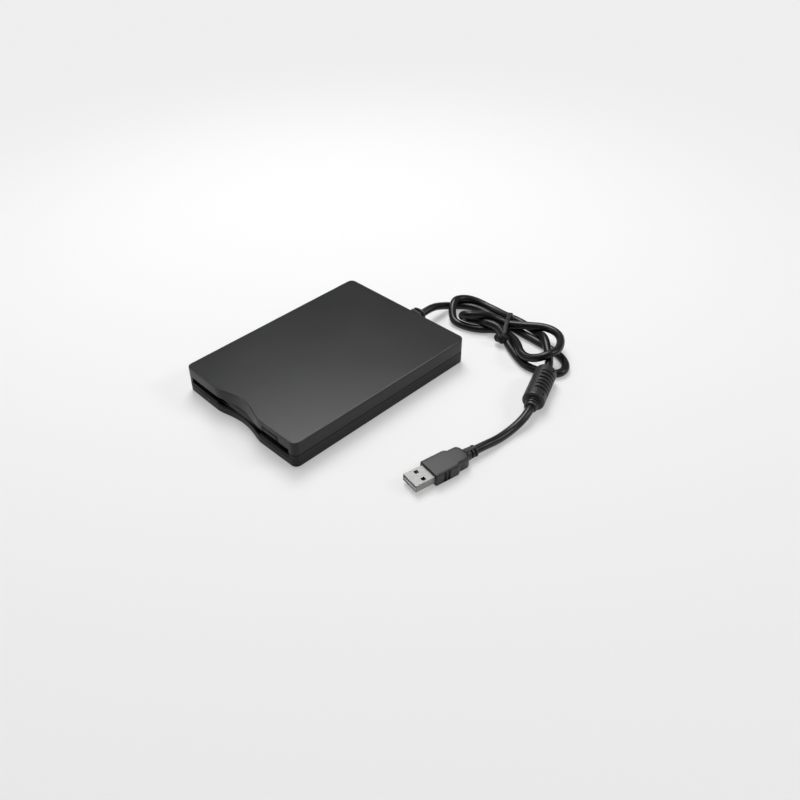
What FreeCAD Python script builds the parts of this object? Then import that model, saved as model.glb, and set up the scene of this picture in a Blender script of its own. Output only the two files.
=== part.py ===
import FreeCAD, Part
import math
import os
from FreeCAD import Vector

# External USB floppy disk drive. Millimetres. +Z is up, the disk slot faces -Y,
# and the origin is on the table under the middle of the case.

# Disk: the case and the mechanism take their width from it
disk_width = 90.0
disk_thickness = 3.3
disk_side_gap = 0.6         # between the disk and the holder's side

# Sheet metal
sheet = 0.6
base_sheet = 0.7
cover_sheet = 0.5
holder_sheet = 0.5
holder_half = disk_width / 2 + disk_side_gap + holder_sheet
slide_half = holder_half + 0.4 + sheet
chassis_half = slide_half + 0.9

# Case
case_width = 2 * chassis_half + 8.0
case_depth = 142.0
foot_stand = 0.5            # daylight under the case
case_base = foot_stand
case_height = 18.0
case_top = case_base + case_height
wall = 1.8
floor_thickness = 1.6
ceiling_thickness = 1.8
corner_radius = 4.0
top_edge_radius = 1.2
base_edge = 0.8
front_crown = 0.6           # how far the front bows out at its middle
seam_z = 9.2
seam_groove = 0.25
lip_height = 0.9
lip_thickness = 0.8
lip_gap = 0.1
floor_z = case_base + floor_thickness
ceiling_z = case_top - ceiling_thickness
case_half = case_width / 2
front_y = -case_depth / 2
back_y = case_depth / 2
inner_front = front_y + wall
inner_back = back_y - wall

# Finger scoop in the middle of the front
scoop_half = 20.5
scoop_top = 5.2
scoop_middle = 2.5
scoop_foot = 3.5
scoop_middle_z = 10.0
scoop_wall = 1.3
scoop_flare = 3.0           # how much wider the back of the wall is

# Slot
slot_side_gap = 1.5         # beside the disk, each side
slot_half = disk_width / 2 + slot_side_gap
slot_floor = 7.95
slot_play = 0.85            # above and below the disk together
slot_top = slot_floor + disk_thickness + slot_play
part_gap = 0.3              # reveal between neighbouring mouldings
front_wall_top = 6.75       # bottom shell's front wall beside the scoop
scoop_wall_top = 7.6        # and inside it

# Drive chassis
chassis_front = front_y + 14.0
chassis_back = back_y - 15.0
chassis_z = 2.9
chassis_top = 15.6
deck_z = chassis_z + base_sheet

# Loading mechanism
eject_travel = 5.0
holder_drop = 2.0
holder_front = front_y + 13.0
holder_back = front_y + 95.0
holder_pin_radius = 0.9
holder_pin_z = 10.5
holder_pin_ys = (holder_front + 12.0, holder_back - 16.0)
pin_clearance = 0.08
slide_z = 13.4
slide_front = holder_front + 5.5
slide_back = holder_back - 2.0
slide_foot_z = 6.6
slide_tab = 6.0
slide_tab_half = 2.0

# Lever that opens the disk's shutter
lever_pivot = (holder_half - 8.1, holder_back - 8.0)
lever_tip = (13.5, holder_back - 13.5)
lever_z = slot_top + holder_sheet + 0.1
lever_sheet = 0.5
lever_rivet = 1.2

# Slot flap
flap_axis_y = front_y + 5.9
flap_axis_z = 14.2
flap_barrel_radius = 0.8
flap_pin_radius = 0.5
flap_half_top = 21.8
flap_half_bottom = 11.0
flap_bottom = 8.35
flap_front = front_y + scoop_middle
flap_thickness = 1.2
flap_barrel_half = 22.3
ear_half = flap_barrel_half + 1.9
ear_back = flap_axis_y + 1.6

# Eject button
button_left = 24.3
button_right = 36.7
button_top = 15.2
button_depth = 4.5
button_stem_half = 3.0
button_x = (button_left + button_right) / 2

# Spindle
spindle_y = holder_front + 38.0
spindle_shaft_radius = 2.0
spindle_bore_gap = 0.05
bearing_radius = 4.5
rotor_radius = 20.0
rotor_top = 6.6
spindle_board_radius = 26.0
board_thickness = 0.8
stator_coils = 9

# Head carriage, parked over the outer track
carriage_back = chassis_back - 6.0
carriage_front = carriage_back - 9.4
head_front = carriage_front - 24.1
head_length = 6.0
head_half = 3.0
rail_front = chassis_back - 31.0    # back of the tabs that hold the rod and the screw
rod_x = -11.0
rod_z = 6.6
rod_radius = 1.5
screw_x = 23.0
screw_z = 8.0
screw_radius = 1.5
journal_radius = 0.75
arm_axis_y = carriage_back - 3.5
arm_axis_z = 13.8
arm_pin_radius = 0.55
running_gap = 0.05

# Boards
drive_board_left = -chassis_half + 2.0
drive_board_right = -19.0
drive_board_front = chassis_back - 30.0
drive_board_back = chassis_back - 1.5
usb_board_half = 40.0
usb_board_front = back_y - 13.5
usb_board_back = back_y - 2.8
usb_board_z = 3.3
usb_board_thickness = 1.6
header_height = 2.6
ribbon_left = -36.0
ribbon_right = -24.0
ribbon_sheet = 0.4
ribbon_top = 9.6

# Screws and feet
screw_shank = 0.9
screw_head = 1.5
chassis_screw_shank = 0.7
front_boss_radius = 1.9
rear_boss_radius = 3.2
boss_places = ((-case_half + 3.9, front_y + 9.5), (case_half - 3.9, front_y + 9.5),
               (-case_half + 8.0, back_y - 6.5), (case_half - 8.0, back_y - 6.5))
foot_radius = 4.5
foot_height = 1.1
foot_places = [(side * (case_half - 11.0), y) for y in (front_y + 19.0, back_y - 17.0) for side in (-1, 1)]
chassis_screw_places = [(side * (chassis_half - 4.0), y)
                        for y in (chassis_front + 13.0, chassis_back - 10.0) for side in (-1, 1)]

# Light on the front
led_x = -29.5
led_z = 3.8
led_width = 4.0
led_height = 1.6

# Cord
cord_radius = 2.6
cord_bend = 12.0
gland_x = 4.5
gland_z = 9.2
gland_end = back_y + 11.2
gland_width = 9.4
gland_height = 8.6
hank_height = 10.2
tie_centre = (51.5, 115.0)
tie_turn = 28.4
tie_half = 13.2
tie_width = 3.2
tie_thickness = 0.8
ferrite_radius = 6.7
ferrite_length = 31.5
ferrite_start = (101.2, 90.4)
ferrite_turn = -67.8
ferrite_neck = 3.5
ferrite_wall = 1.2
plug_start = (114.3, 8.0, 4.2)
plug_turn = -100.0
plug_width = 15.0
plug_waist = 11.8
plug_height = 8.0
boot_length = 8.0
boot_radius = 3.6
waist_length = 8.2
plug_length = 32.5          # boot, waist and grip together
plug_shell_width = 12.0
plug_shell_height = 4.5
plug_shell_length = 12.5
plug_shell_sheet = 0.3
contact_sheet = 0.15


def box(x0, x1, y0, y1, z0, z1):
    return Part.makeBox(x1 - x0, y1 - y0, z1 - z0, Vector(x0, y0, z0))


def rod(radius, start, axis, length):
    return Part.makeCylinder(radius, length, Vector(*start), Vector(*axis))


# A round part that nothing runs on, drawn with flat sides
def stud(radius, x, y, z0, z1, sides=8):
    ring = [(x + radius * math.cos(2 * math.pi * i / sides), y + radius * math.sin(2 * math.pi * i / sides))
            for i in range(sides)]
    return prism_z(ring, z0, z1)


def prism_x(profile, x0, x1):
    points = [Vector(x0, y, z) for y, z in profile]
    return Part.Face(Part.makePolygon(points + points[:1])).extrude(Vector(x1 - x0, 0, 0))


def prism_z(profile, z0, z1):
    points = [Vector(x, y, z0) for x, y in profile]
    return Part.Face(Part.makePolygon(points + points[:1])).extrude(Vector(0, 0, z1 - z0))


def join(shapes):
    return shapes[0].multiFuse(shapes[1:]).removeSplitter() if len(shapes) > 1 else shapes[0]


def mirrored(shape):
    return shape.mirror(Vector(0, 0, 0), Vector(1, 0, 0))


def upright_edges(solid):
    found = []
    for edge in solid.Edges:
        a, b = (vertex.Point for vertex in edge.Vertexes[:2])
        if math.hypot(a.x - b.x, a.y - b.y) < 1e-6 and abs(a.z - b.z) > 1e-6:
            found.append(edge)
    return found


def edges_at(solid, z):
    return [e for e in solid.Edges if abs(e.BoundBox.ZMin - z) < 1e-4 and abs(e.BoundBox.ZMax - z) < 1e-4]


# The case's plan with its bowed front and round corners, drawn in by inset
def case_block(inset, z0, z1):
    half = case_half - inset
    left_front = Vector(-half, front_y + inset + front_crown, z0)
    right_front = Vector(half, front_y + inset + front_crown, z0)
    right_back = Vector(half, back_y - inset, z0)
    left_back = Vector(-half, back_y - inset, z0)
    outline = Part.Wire([
        Part.Arc(left_front, Vector(0, front_y + inset, z0), right_front).toShape(),
        Part.LineSegment(right_front, right_back).toShape(),
        Part.LineSegment(right_back, left_back).toShape(),
        Part.LineSegment(left_back, left_front).toShape(),
    ])
    solid = Part.Face(outline).extrude(Vector(0, 0, z1 - z0))
    return solid.makeFillet(max(corner_radius - inset, 0.6), upright_edges(solid))


# The air in the finger scoop: a bell in plan, with straight walls between three heights.
# deeper and wider draw the same surface further into the case.
def scoop_air(deeper, wider):
    ahead = front_y - 3.0
    half = scoop_half + wider
    levels = (
        (case_base - 1.0, scoop_foot),
        (scoop_middle_z, scoop_middle),
        (case_top + 1.0, scoop_top),
    )
    sections = []
    for z, depth in levels:
        steps = [i / 6 for i in range(-6, 7)]
        bell = [Vector(u * half, front_y + (depth + deeper) * (1 - u * u) ** 1.5, z) for u in steps]
        curve = Part.BSplineCurve()
        curve.interpolate(bell)
        left = Vector(-half, ahead, z)
        right = Vector(half, ahead, z)
        sections.append(Part.Wire([
            curve.toShape(),
            Part.LineSegment(bell[-1], right).toShape(),
            Part.LineSegment(right, left).toShape(),
            Part.LineSegment(left, bell[0]).toShape(),
        ]))
    return Part.makeLoft(sections, True, True)


scoop = scoop_air(0.0, 0.0)
scoop_back = scoop_air(scoop_wall, scoop_flare)


def case_cavity(z0, z1):
    return case_block(wall, z0, z1).cut(scoop_back)


def boss_radius(place):
    return front_boss_radius if place[1] < 0 else rear_boss_radius


def gland_notch():
    return box(gland_x - 3.4, gland_x + 3.4, inner_back - 1, back_y + 1, gland_z - 3.3, gland_z + 3.3)


def make_top_shell():
    outer = case_block(0, seam_z, case_top)
    outer = outer.makeFillet(top_edge_radius, edges_at(outer, case_top))
    shell = outer.cut(case_cavity(seam_z - 1, ceiling_z)).cut(scoop)
    posts = []
    for x, y in boss_places:
        posts.append(stud(boss_radius((x, y)), x, y, seam_z, ceiling_z + 0.5, 12))
    for x in (-40.0, 40.0):
        posts.append(box(x - 0.5, x + 0.5, chassis_back + 1, inner_back + 0.5,
                         ceiling_z - 3, ceiling_z + 0.5))
    shell = join([shell] + posts)
    rebate = case_block(lip_thickness, seam_z - 1, seam_z + lip_height + lip_gap)
    rebate = rebate.cut(case_block(wall, seam_z - 1, seam_z + 2))
    slot = box(-slot_half - 0.1, slot_half + 0.1, front_y - 1, front_y + 6, seam_z - 1, slot_top)
    key = box(button_left - part_gap, button_right + part_gap, front_y - 1, front_y + 6,
              slot_top - 1, button_top + part_gap)
    shell = shell.cut(rebate).cut(slot).cut(key).cut(gland_notch())
    for x, y in boss_places:
        shell = shell.cut(stud(screw_shank, x, y, seam_z - 1, seam_z + 4.5))
    return shell


def make_bottom_shell():
    outer = case_block(0, case_base, seam_z)
    outer = outer.makeChamfer(base_edge, edges_at(outer, case_base))
    shell = outer.cut(case_cavity(floor_z, seam_z + 1)).cut(scoop)
    lip = case_block(lip_thickness + lip_gap, seam_z - 0.5, seam_z + lip_height)
    lip = lip.cut(case_block(wall, seam_z - 1, seam_z + 2))
    extras = [lip]
    for x, y in boss_places:
        extras.append(stud(boss_radius((x, y)), x, y, floor_z - 0.5, seam_z, 12))
    for x, y in chassis_screw_places:
        extras.append(stud(2.6, x, y, floor_z - 0.5, chassis_z, 12))
    for x in (-24.0, 24.0):
        for y in (chassis_front + 27.0, chassis_back - 23.0):
            extras.append(box(x - 8, x + 8, y, y + 1.2, floor_z - 0.5, chassis_z))
        for y in (usb_board_front + 1.0, usb_board_back - 2.2):
            extras.append(box(x - 10, x + 10, y, y + 1.2, floor_z - 0.5, usb_board_z))
    shell = join([shell] + extras)
    beside = box(scoop_half, slot_half + 0.1, front_y - 1, front_y + 6, front_wall_top, seam_z + 2)
    ahead = box(-scoop_half, scoop_half, front_y - 1, front_y + 6, scoop_wall_top, seam_z + 2)
    groove = case_block(-1, seam_z - seam_groove, seam_z).cut(case_block(seam_groove, seam_z - 1, seam_z + 1))
    shell = shell.cut(beside).cut(mirrored(beside)).cut(ahead).cut(groove).cut(gland_notch())
    for x, y in boss_places:
        shell = shell.cut(stud(screw_shank + 0.2, x, y, case_base - 1, seam_z + 2))
        shell = shell.cut(stud(screw_head + 0.1, x, y, case_base - 1, case_base + 2, 16))
    for x, y in chassis_screw_places:
        shell = shell.cut(stud(chassis_screw_shank, x, y, case_base + 0.6, case_base + 5.6))
    for x, y in foot_places:
        recess = foot_height - foot_stand
        shell = shell.cut(rod(foot_radius + 0.1, (x, y, case_base - 1), (0, 0, 1), 1 + recess))
    window = box(led_x - led_width / 2 - 0.05, led_x + led_width / 2 + 0.05, front_y - 1, inner_front + 1,
                 led_z - led_height / 2 - 0.05, led_z + led_height / 2 + 0.05)
    return shell.cut(window)


# The frame behind both shells: the slot's sloping lower lip, its cheeks, and the ears of the flap
def make_front_frame():
    rear = front_y + 6.4
    post_x0 = slot_half + 0.1
    post_x1 = slot_half + 2.1
    frame_top = ceiling_z - part_gap
    step = inner_front + 0.2 + front_crown
    rail = prism_x([
        (front_y - 0.2, front_wall_top + part_gap), (front_y - 0.2, slot_floor - 0.7),
        (front_y + 0.7, slot_floor), (rear, slot_floor), (rear, slot_floor - 2.6),
        (step, slot_floor - 2.6), (step, front_wall_top + part_gap),
    ], -slot_half, slot_half)
    rail = rail.common(case_block(0, case_base, case_top)).cut(scoop_air(scoop_wall + 0.2, scoop_flare))
    rail = rail.cut(box(-scoop_half - 0.2, scoop_half + 0.2, front_y - 1, inner_front + 0.9, 0, case_top))
    rail = rail.cut(rod(7.1, (-flap_barrel_half, flap_axis_y, flap_axis_z), (1, 0, 0), 2 * flap_barrel_half))
    post = box(post_x0 - 0.2, post_x1, inner_front + 0.9, rear - 0.4, floor_z, frame_top)
    beam_y = inner_front + 0.9
    left_beam = box(-post_x1, -ear_half, beam_y, beam_y + 1.6, slot_top + part_gap, frame_top)
    right_beam = box(button_right + 2 * part_gap, post_x1, beam_y, beam_y + 1.6,
                     slot_top + part_gap, frame_top)
    bridge = box(-post_x1, post_x1, flap_axis_y - 0.1, ear_back, button_top + 0.4, frame_top)
    ear = box(flap_barrel_half + 0.4, ear_half, flap_axis_y - 1.3, ear_back, slot_top + 0.6, frame_top)
    link = box(-post_x1, -ear_half, beam_y, ear_back, button_top + 0.4, frame_top)
    far_link = box(button_right + 0.6, post_x1, beam_y, ear_back, button_top + 0.4, frame_top)
    frame = join([rail, post, mirrored(post), left_beam, right_beam, bridge, ear, mirrored(ear),
                  link, far_link])
    pivot = rod(flap_pin_radius + running_gap, (-30, flap_axis_y, flap_axis_z), (1, 0, 0), 60)
    return frame.cut(pivot)


def make_slot_flap():
    corners = [
        Vector(-flap_half_top, flap_front, slot_top - 0.2), Vector(flap_half_top, flap_front, slot_top - 0.2),
        Vector(flap_half_bottom, flap_front, flap_bottom), Vector(-flap_half_bottom, flap_front, flap_bottom),
    ]
    side_x = (flap_half_top + flap_half_bottom) / 2 - 1.2
    side_z = (slot_top + flap_bottom) / 2 - 0.4
    outline = Part.Wire([
        Part.LineSegment(corners[0], corners[1]).toShape(),
        Part.Arc(corners[1], Vector(side_x, flap_front, side_z), corners[2]).toShape(),
        Part.LineSegment(corners[2], corners[3]).toShape(),
        Part.Arc(corners[3], Vector(-side_x, flap_front, side_z), corners[0]).toShape(),
    ])
    plate = Part.Face(outline).extrude(Vector(0, flap_thickness, 0))
    axis = (flap_axis_y, flap_axis_z)
    barrel = rod(flap_barrel_radius, (-flap_barrel_half, *axis), (1, 0, 0), 2 * flap_barrel_half)
    pins = rod(flap_pin_radius, (0.1 - ear_half, *axis), (1, 0, 0), 2 * ear_half - 0.2)
    back = flap_front + flap_thickness
    web = prism_x([
        (flap_axis_y - flap_barrel_radius, flap_axis_z), (flap_axis_y - 1.3, slot_top + 0.1),
        (back, slot_top - 0.4), (back, slot_top - 2.3), (back + 0.9, slot_top - 1.3),
        (flap_axis_y + flap_barrel_radius, flap_axis_z),
    ], -17.0, 17.0)
    return join([plate, barrel, pins, web])


def make_eject_button():
    cap = box(button_left, button_right, front_y - 1, front_y + button_depth, slot_top, button_top)
    cap = cap.common(case_block(0.05, case_base, case_top))
    front_edges = [e for e in cap.Edges if e.BoundBox.YMax < front_y + 1.0]
    cap = cap.makeFillet(0.35, front_edges)
    stem = box(button_x - button_stem_half, button_x + button_stem_half, front_y + button_depth - 0.5,
               slide_front - 2.0, slide_z - 0.5, slide_z + sheet + 0.9)
    hollow = box(button_left + 1, button_right - 1, front_y + 2.0, front_y + button_depth - 0.6,
                 slot_top + 0.9, button_top - 0.9)
    tab_half = slide_tab_half + 0.05
    tab = box(button_x - tab_half, button_x + tab_half, slide_front - slide_tab - 0.05, slide_front,
              slide_z - 0.05, slide_z + sheet + 0.05)
    return join([cap.cut(hollow), stem]).cut(tab)


# Cam slot of a side flange: the pin runs back and down it as the plate comes forward
def cam_slot(pin_y):
    radius = holder_pin_radius + pin_clearance
    length = math.hypot(eject_travel, holder_drop)
    ends = [(pin_y, holder_pin_z), (pin_y + eject_travel, holder_pin_z - holder_drop)]
    rise = (-holder_drop / length * radius, -eject_travel / length * radius)
    run = prism_x([
        (ends[0][0] + rise[0], ends[0][1] + rise[1]), (ends[1][0] + rise[0], ends[1][1] + rise[1]),
        (ends[1][0] - rise[0], ends[1][1] - rise[1]), (ends[0][0] - rise[0], ends[0][1] - rise[1]),
    ], -case_width, case_width)
    rounds = [rod(radius, (-case_width, y, z), (1, 0, 0), 2 * case_width) for y, z in ends]
    return join([run] + rounds)


def make_slide_plate():
    plate = box(-slide_half, slide_half, slide_front, slide_back, slide_z, slide_z + sheet)
    pieces = [plate, box(button_x - slide_tab_half, button_x + slide_tab_half, slide_front - slide_tab,
                         slide_front + 1, slide_z, slide_z + sheet)]
    for pin_y in holder_pin_ys:
        flange = box(slide_half - sheet, slide_half, pin_y - 4, pin_y + eject_travel + 4,
                     slide_foot_z, slide_z + sheet)
        pieces += [flange, mirrored(flange)]
    shape = join(pieces)
    for pin_y in holder_pin_ys:
        shape = shape.cut(cam_slot(pin_y))
    shape = shape.cut(box(-9, 9, head_front - 17.5, slide_back + 1, slide_z - 1, slide_z + 2))
    return shape.cut(box(-30, 16, spindle_y - 22, spindle_y + 10, slide_z - 1, slide_z + 2))


def make_disk_holder():
    top = slot_top + holder_sheet
    bottom = slot_floor - holder_sheet
    plate = box(-holder_half, holder_half, holder_front, holder_back, slot_top, top)
    side = box(holder_half - holder_sheet, holder_half, holder_front, holder_back, bottom, top)
    ledge = box(holder_half - 4, holder_half, holder_front, holder_back, bottom, slot_floor)
    pieces = [plate, side, mirrored(side), ledge, mirrored(ledge)]
    for pin_y in holder_pin_ys:
        pin = rod(holder_pin_radius, (holder_half - 0.2, pin_y, holder_pin_z), (1, 0, 0),
                  chassis_half - holder_half + 0.2)
        pieces += [pin, mirrored(pin)]
    shape = join(pieces)
    window = box(-9.5, 16.5, head_front - 16.5, holder_back + 1, slot_top - 1, top + 1)
    hub = stud(14.0, 0, spindle_y, slot_top - 1, top + 1, 16)
    pivot = rod(lever_rivet + running_gap, (*lever_pivot, slot_top - 1), (0, 0, 1), 3)
    shape = shape.cut(window).cut(hub).cut(pivot)
    for x in (-30.0, 30.0):
        shape = shape.cut(box(x - 6, x + 6, holder_front + 6, holder_front + 28, slot_top - 1, top + 1))
    return shape


def make_shutter_lever():
    dx = lever_tip[0] - lever_pivot[0]
    dy = lever_tip[1] - lever_pivot[1]
    length = math.hypot(dx, dy)
    side = Vector(-dy / length, dx / length, 0)
    start = Vector(lever_pivot[0], lever_pivot[1], lever_z)
    end = Vector(lever_tip[0], lever_tip[1], lever_z)
    points = [start + side * 2.6, end + side * 1.4, end - side * 1.4, start - side * 2.6]
    arm = Part.Face(Part.makePolygon(points + points[:1])).extrude(Vector(0, 0, lever_sheet))
    eye = rod(2.6, tuple(start), (0, 0, 1), lever_sheet)
    nose = rod(1.4, tuple(end), (0, 0, 1), lever_sheet)
    rivet = rod(lever_rivet, (*lever_pivot, slot_top), (0, 0, 1), 1.0)
    finger = stud(0.8, *lever_tip, slot_top - 1.8, slot_top + 0.8)
    return join([arm, eye, nose, rivet, finger])


def make_drive_chassis():
    base = box(-chassis_half, chassis_half, chassis_front, chassis_back, chassis_z, deck_z)
    side = box(chassis_half - sheet, chassis_half, chassis_front, chassis_back, chassis_z, chassis_top)
    rear = box(-chassis_half, chassis_half, chassis_back - sheet, chassis_back, chassis_z, chassis_top)
    rod_tab = box(rod_x - 3, rod_x + 3, rail_front - 0.8, rail_front, deck_z - 0.2, rod_z + 1.2)
    screw_tab = box(screw_x - 3, screw_x + 3, rail_front - 0.8, rail_front, deck_z - 0.2, screw_z + 2.5)
    pads = [box(x - 2, x + 2, y - 2, y + 2, deck_z - 0.2, deck_z + board_thickness)
            for x in (drive_board_left + 3, drive_board_right - 3)
            for y in (drive_board_front + 3, drive_board_back - 3.5)]
    shape = join([base, side, mirrored(side), rear, rod_tab, screw_tab] + pads)
    slot_radius = holder_pin_radius + pin_clearance
    for pin_y in holder_pin_ys:
        for z in (holder_pin_z, holder_pin_z - holder_drop):
            shape = shape.cut(rod(slot_radius, (-case_width, pin_y, z), (1, 0, 0), 2 * case_width))
        shape = shape.cut(box(-case_width, case_width, pin_y - slot_radius, pin_y + slot_radius,
                              holder_pin_z - holder_drop, holder_pin_z))
    shape = shape.cut(stud(bearing_radius + running_gap, 0, spindle_y, chassis_z - 1, chassis_z + 2, 24))
    rail_length = chassis_back - sheet - rail_front + 5
    shape = shape.cut(rod(rod_radius + 0.02, (rod_x, rail_front - 5, rod_z), (0, 1, 0), rail_length))
    shape = shape.cut(rod(journal_radius + running_gap, (screw_x, rail_front - 5, screw_z), (0, 1, 0), 10))
    shape = shape.cut(box(ribbon_left, ribbon_right + 4, chassis_back - 1, chassis_back + 1,
                          deck_z + 1, chassis_top - 5))
    shape = shape.cut(box(-8, 14, chassis_back - 1, chassis_back + 1, chassis_top - 6, chassis_top + 1))
    for x in (-34.0, 34.0):
        shape = shape.cut(box(x - 5, x + 5, spindle_y + 24, spindle_y + 38, chassis_z - 1, deck_z + 1))
    for y in (chassis_front + 27, chassis_front + 45, chassis_front + 85):
        window = box(chassis_half - 2, chassis_half + 1, y, y + 8, deck_z + 1.5, deck_z + 6)
        shape = shape.cut(window).cut(mirrored(window))
    for x, y in chassis_screw_places:
        shape = shape.cut(stud(1.1, x, y, chassis_z - 1, deck_z + 1))
    return shape


def make_drive_cover():
    half = chassis_half + 0.05
    plate = box(-half, half, chassis_front + 7, chassis_back, chassis_top, chassis_top + cover_sheet)
    flap = box(half, half + cover_sheet, chassis_front + 11, chassis_back - 4,
               chassis_top - 2.2, chassis_top + cover_sheet)
    shape = join([plate, flap, mirrored(flap)])
    shape = shape.cut(stud(12.0, 0, spindle_y, chassis_top - 1, chassis_top + 2, 16))
    for x in (-32.0, 32.0):
        shape = shape.cut(box(x - 5, x + 5, chassis_back - 44, chassis_back - 12,
                              chassis_top - 1, chassis_top + 2))
    return shape


def make_spindle_bearing():
    sleeve = stud(bearing_radius, 0, spindle_y, floor_z + 0.2, floor_z + 3.3, 24)
    flange = stud(bearing_radius + 1.5, 0, spindle_y, deck_z, deck_z + board_thickness, 24)
    bore = rod(spindle_shaft_radius + spindle_bore_gap, (0, spindle_y, floor_z), (0, 0, 1), 6)
    return join([sleeve, flange]).cut(bore)


def make_spindle_board():
    disc = stud(spindle_board_radius, 0, spindle_y, deck_z, deck_z + board_thickness, 36)
    tail = box(led_x - 4, -8, chassis_front + 1, spindle_y, deck_z, deck_z + board_thickness)
    hole = stud(bearing_radius + 1.6, 0, spindle_y, deck_z - 1, deck_z + 2, 24)
    return join([disc, tail]).cut(hole)


def make_spindle_stator():
    low = deck_z + board_thickness
    ring = stud(10.5, 0, spindle_y, low, low + 0.9, 18).cut(stud(7.5, 0, spindle_y, low - 1, low + 2, 18))
    tooth = box(10.0, 17.6, spindle_y - 1.0, spindle_y + 1.0, low, low + 0.9)
    coil = box(11.4, 16.0, spindle_y - 2.3, spindle_y + 2.3, low, low + 1.2)
    pieces = [ring]
    for i in range(stator_coils):
        for piece in (tooth, coil):
            turned = piece.copy()
            turned.rotate(Vector(0, spindle_y, 0), Vector(0, 0, 1), i * 360 / stator_coils)
            pieces.append(turned)
    return join(pieces)


def make_spindle_rotor():
    centre = (0, spindle_y)
    rim_low = deck_z + board_thickness + 0.3
    plate_low = deck_z + board_thickness + 1.6
    plate = rod(rotor_radius, (*centre, rim_low), (0, 0, 1), rotor_top - rim_low)
    plate = plate.cut(stud(rotor_radius - 1.4, *centre, rim_low - 1, plate_low, 36))
    shaft = rod(spindle_shaft_radius, (*centre, floor_z + 0.3), (0, 0, 1), slot_floor - floor_z - 0.35)
    chuck = stud(9.0, *centre, rotor_top - 0.2, rotor_top + 0.4, 24)
    pin = stud(0.9, 6.3, spindle_y, rotor_top, rotor_top + 1.1)
    return join([plate, shaft, chuck, pin])


def make_head_carriage():
    body = box(-15, 19, carriage_front, carriage_back, 4.6, 12.3)
    hollow = box(-5, 15, carriage_front + 2, carriage_back - 2, 8.0, 13)
    arm = box(-5, 5, head_front, carriage_front + 1, 5.2, 6.4)
    head = box(-head_half, head_half, head_front, head_front + head_length, 6.2, 7.8)
    finger = box(18.5, screw_x - screw_radius - 0.1, carriage_front + 2.4, carriage_front + 5.4,
                 screw_z - 0.8, screw_z + 0.8)
    ear = box(7.0, 8.8, arm_axis_y - 2.1, arm_axis_y + 2.1, 11.8, arm_axis_z + 1.2)
    shape = join([body.cut(hollow), arm, head, finger, ear, mirrored(ear)])
    bore = rod(rod_radius + running_gap, (rod_x, 0, rod_z), (0, 1, 0), case_depth)
    pivot = rod(arm_pin_radius + running_gap, (-12, arm_axis_y, arm_axis_z), (1, 0, 0), 24)
    return shape.cut(bore).cut(pivot)


def make_upper_head_arm():
    shoulder = arm_axis_y - 8.5
    tail = arm_axis_y + 1.5
    arm = prism_z([
        (-6.6, tail), (-6.6, shoulder), (-4, head_front), (4, head_front), (6.6, shoulder), (6.6, tail),
    ], arm_axis_z + 0.4, arm_axis_z + 1.2)
    barrel = rod(1.2, (-6.6, arm_axis_y, arm_axis_z), (1, 0, 0), 13.2)
    pins = rod(arm_pin_radius, (-8.8, arm_axis_y, arm_axis_z), (1, 0, 0), 17.6)
    head = box(-head_half, head_half, head_front, head_front + head_length, slot_top + 0.8, arm_axis_z + 0.6)
    return join([arm, barrel, pins, head])


def make_guide_rod():
    front = rail_front - 1.0
    return rod(rod_radius, (rod_x, front, rod_z), (0, 1, 0), chassis_back - sheet - front)


def make_stepper_motor():
    front = carriage_back + 0.5
    can = rod(4.4, (screw_x, front, screw_z), (0, 1, 0), chassis_back - sheet - front)
    foot = box(screw_x - 4, screw_x + 4, front + 1, chassis_back - sheet, deck_z, screw_z)
    bore = rod(journal_radius + running_gap, (screw_x, front - 0.5, screw_z), (0, 1, 0), 3)
    return join([can, foot]).cut(bore)


def make_lead_screw():
    thread = rod(screw_radius, (screw_x, rail_front + 0.3, screw_z), (0, 1, 0),
                 carriage_back - rail_front - 0.1)
    journal = rod(journal_radius, (screw_x, rail_front - 0.8, screw_z), (0, 1, 0), carriage_back - rail_front + 3.0)
    return join([thread, journal])


def make_drive_board():
    z = deck_z + board_thickness
    return box(drive_board_left, drive_board_right, drive_board_front, drive_board_back, z, z + board_thickness)


def make_drive_board_parts():
    z = deck_z + 2 * board_thickness
    x = drive_board_left
    y = drive_board_front
    chip = box(x + 4, x + 14, y + 6, y + 16, z, z + 1.4)
    small = [box(x + dx, x + dx + 4, y + dy, y + dy + 3, z, z + 1.2) for dx in (17.0, 22.0) for dy in (4.0, 10.0)]
    header = box(ribbon_left - 2, ribbon_right + 2, drive_board_back - 6.5, drive_board_back - 2.5, z, z + header_height)
    return Part.makeCompound([chip, header] + small)


def make_usb_board():
    return box(-usb_board_half, usb_board_half, usb_board_front, usb_board_back, usb_board_z,
               usb_board_z + usb_board_thickness)


def make_usb_board_parts():
    z = usb_board_z + usb_board_thickness
    y = usb_board_front
    chip = box(14, 24, y + 0.5, y + 9.5, z, z + 1.3)
    crystal = box(27, 30.5, y + 2.5, y + 8.5, z, z + 3.2)
    header = box(ribbon_left - 2, ribbon_right + 2, y + 0.5, y + 4, z, z + header_height)
    socket = box(gland_x - 5, gland_x + 5, y + 2, inner_back - 3.2, z, z + 5.0)
    capacitor = rod(2.5, (35, y + 5, z), (0, 0, 1), 5.2)
    return Part.makeCompound([chip, crystal, header, socket, capacitor])


def make_ribbon_cable():
    low = deck_z + 2 * board_thickness + header_height
    end = usb_board_z + usb_board_thickness + header_height
    under = ribbon_top - ribbon_sheet
    front = drive_board_back - 4.9
    back = usb_board_front + 2.5
    return prism_x([
        (front, low), (front + ribbon_sheet, low), (front + ribbon_sheet, under), (back - ribbon_sheet, under),
        (back - ribbon_sheet, end), (back, end), (back, ribbon_top), (front, ribbon_top),
    ], ribbon_left, ribbon_right)


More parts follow.
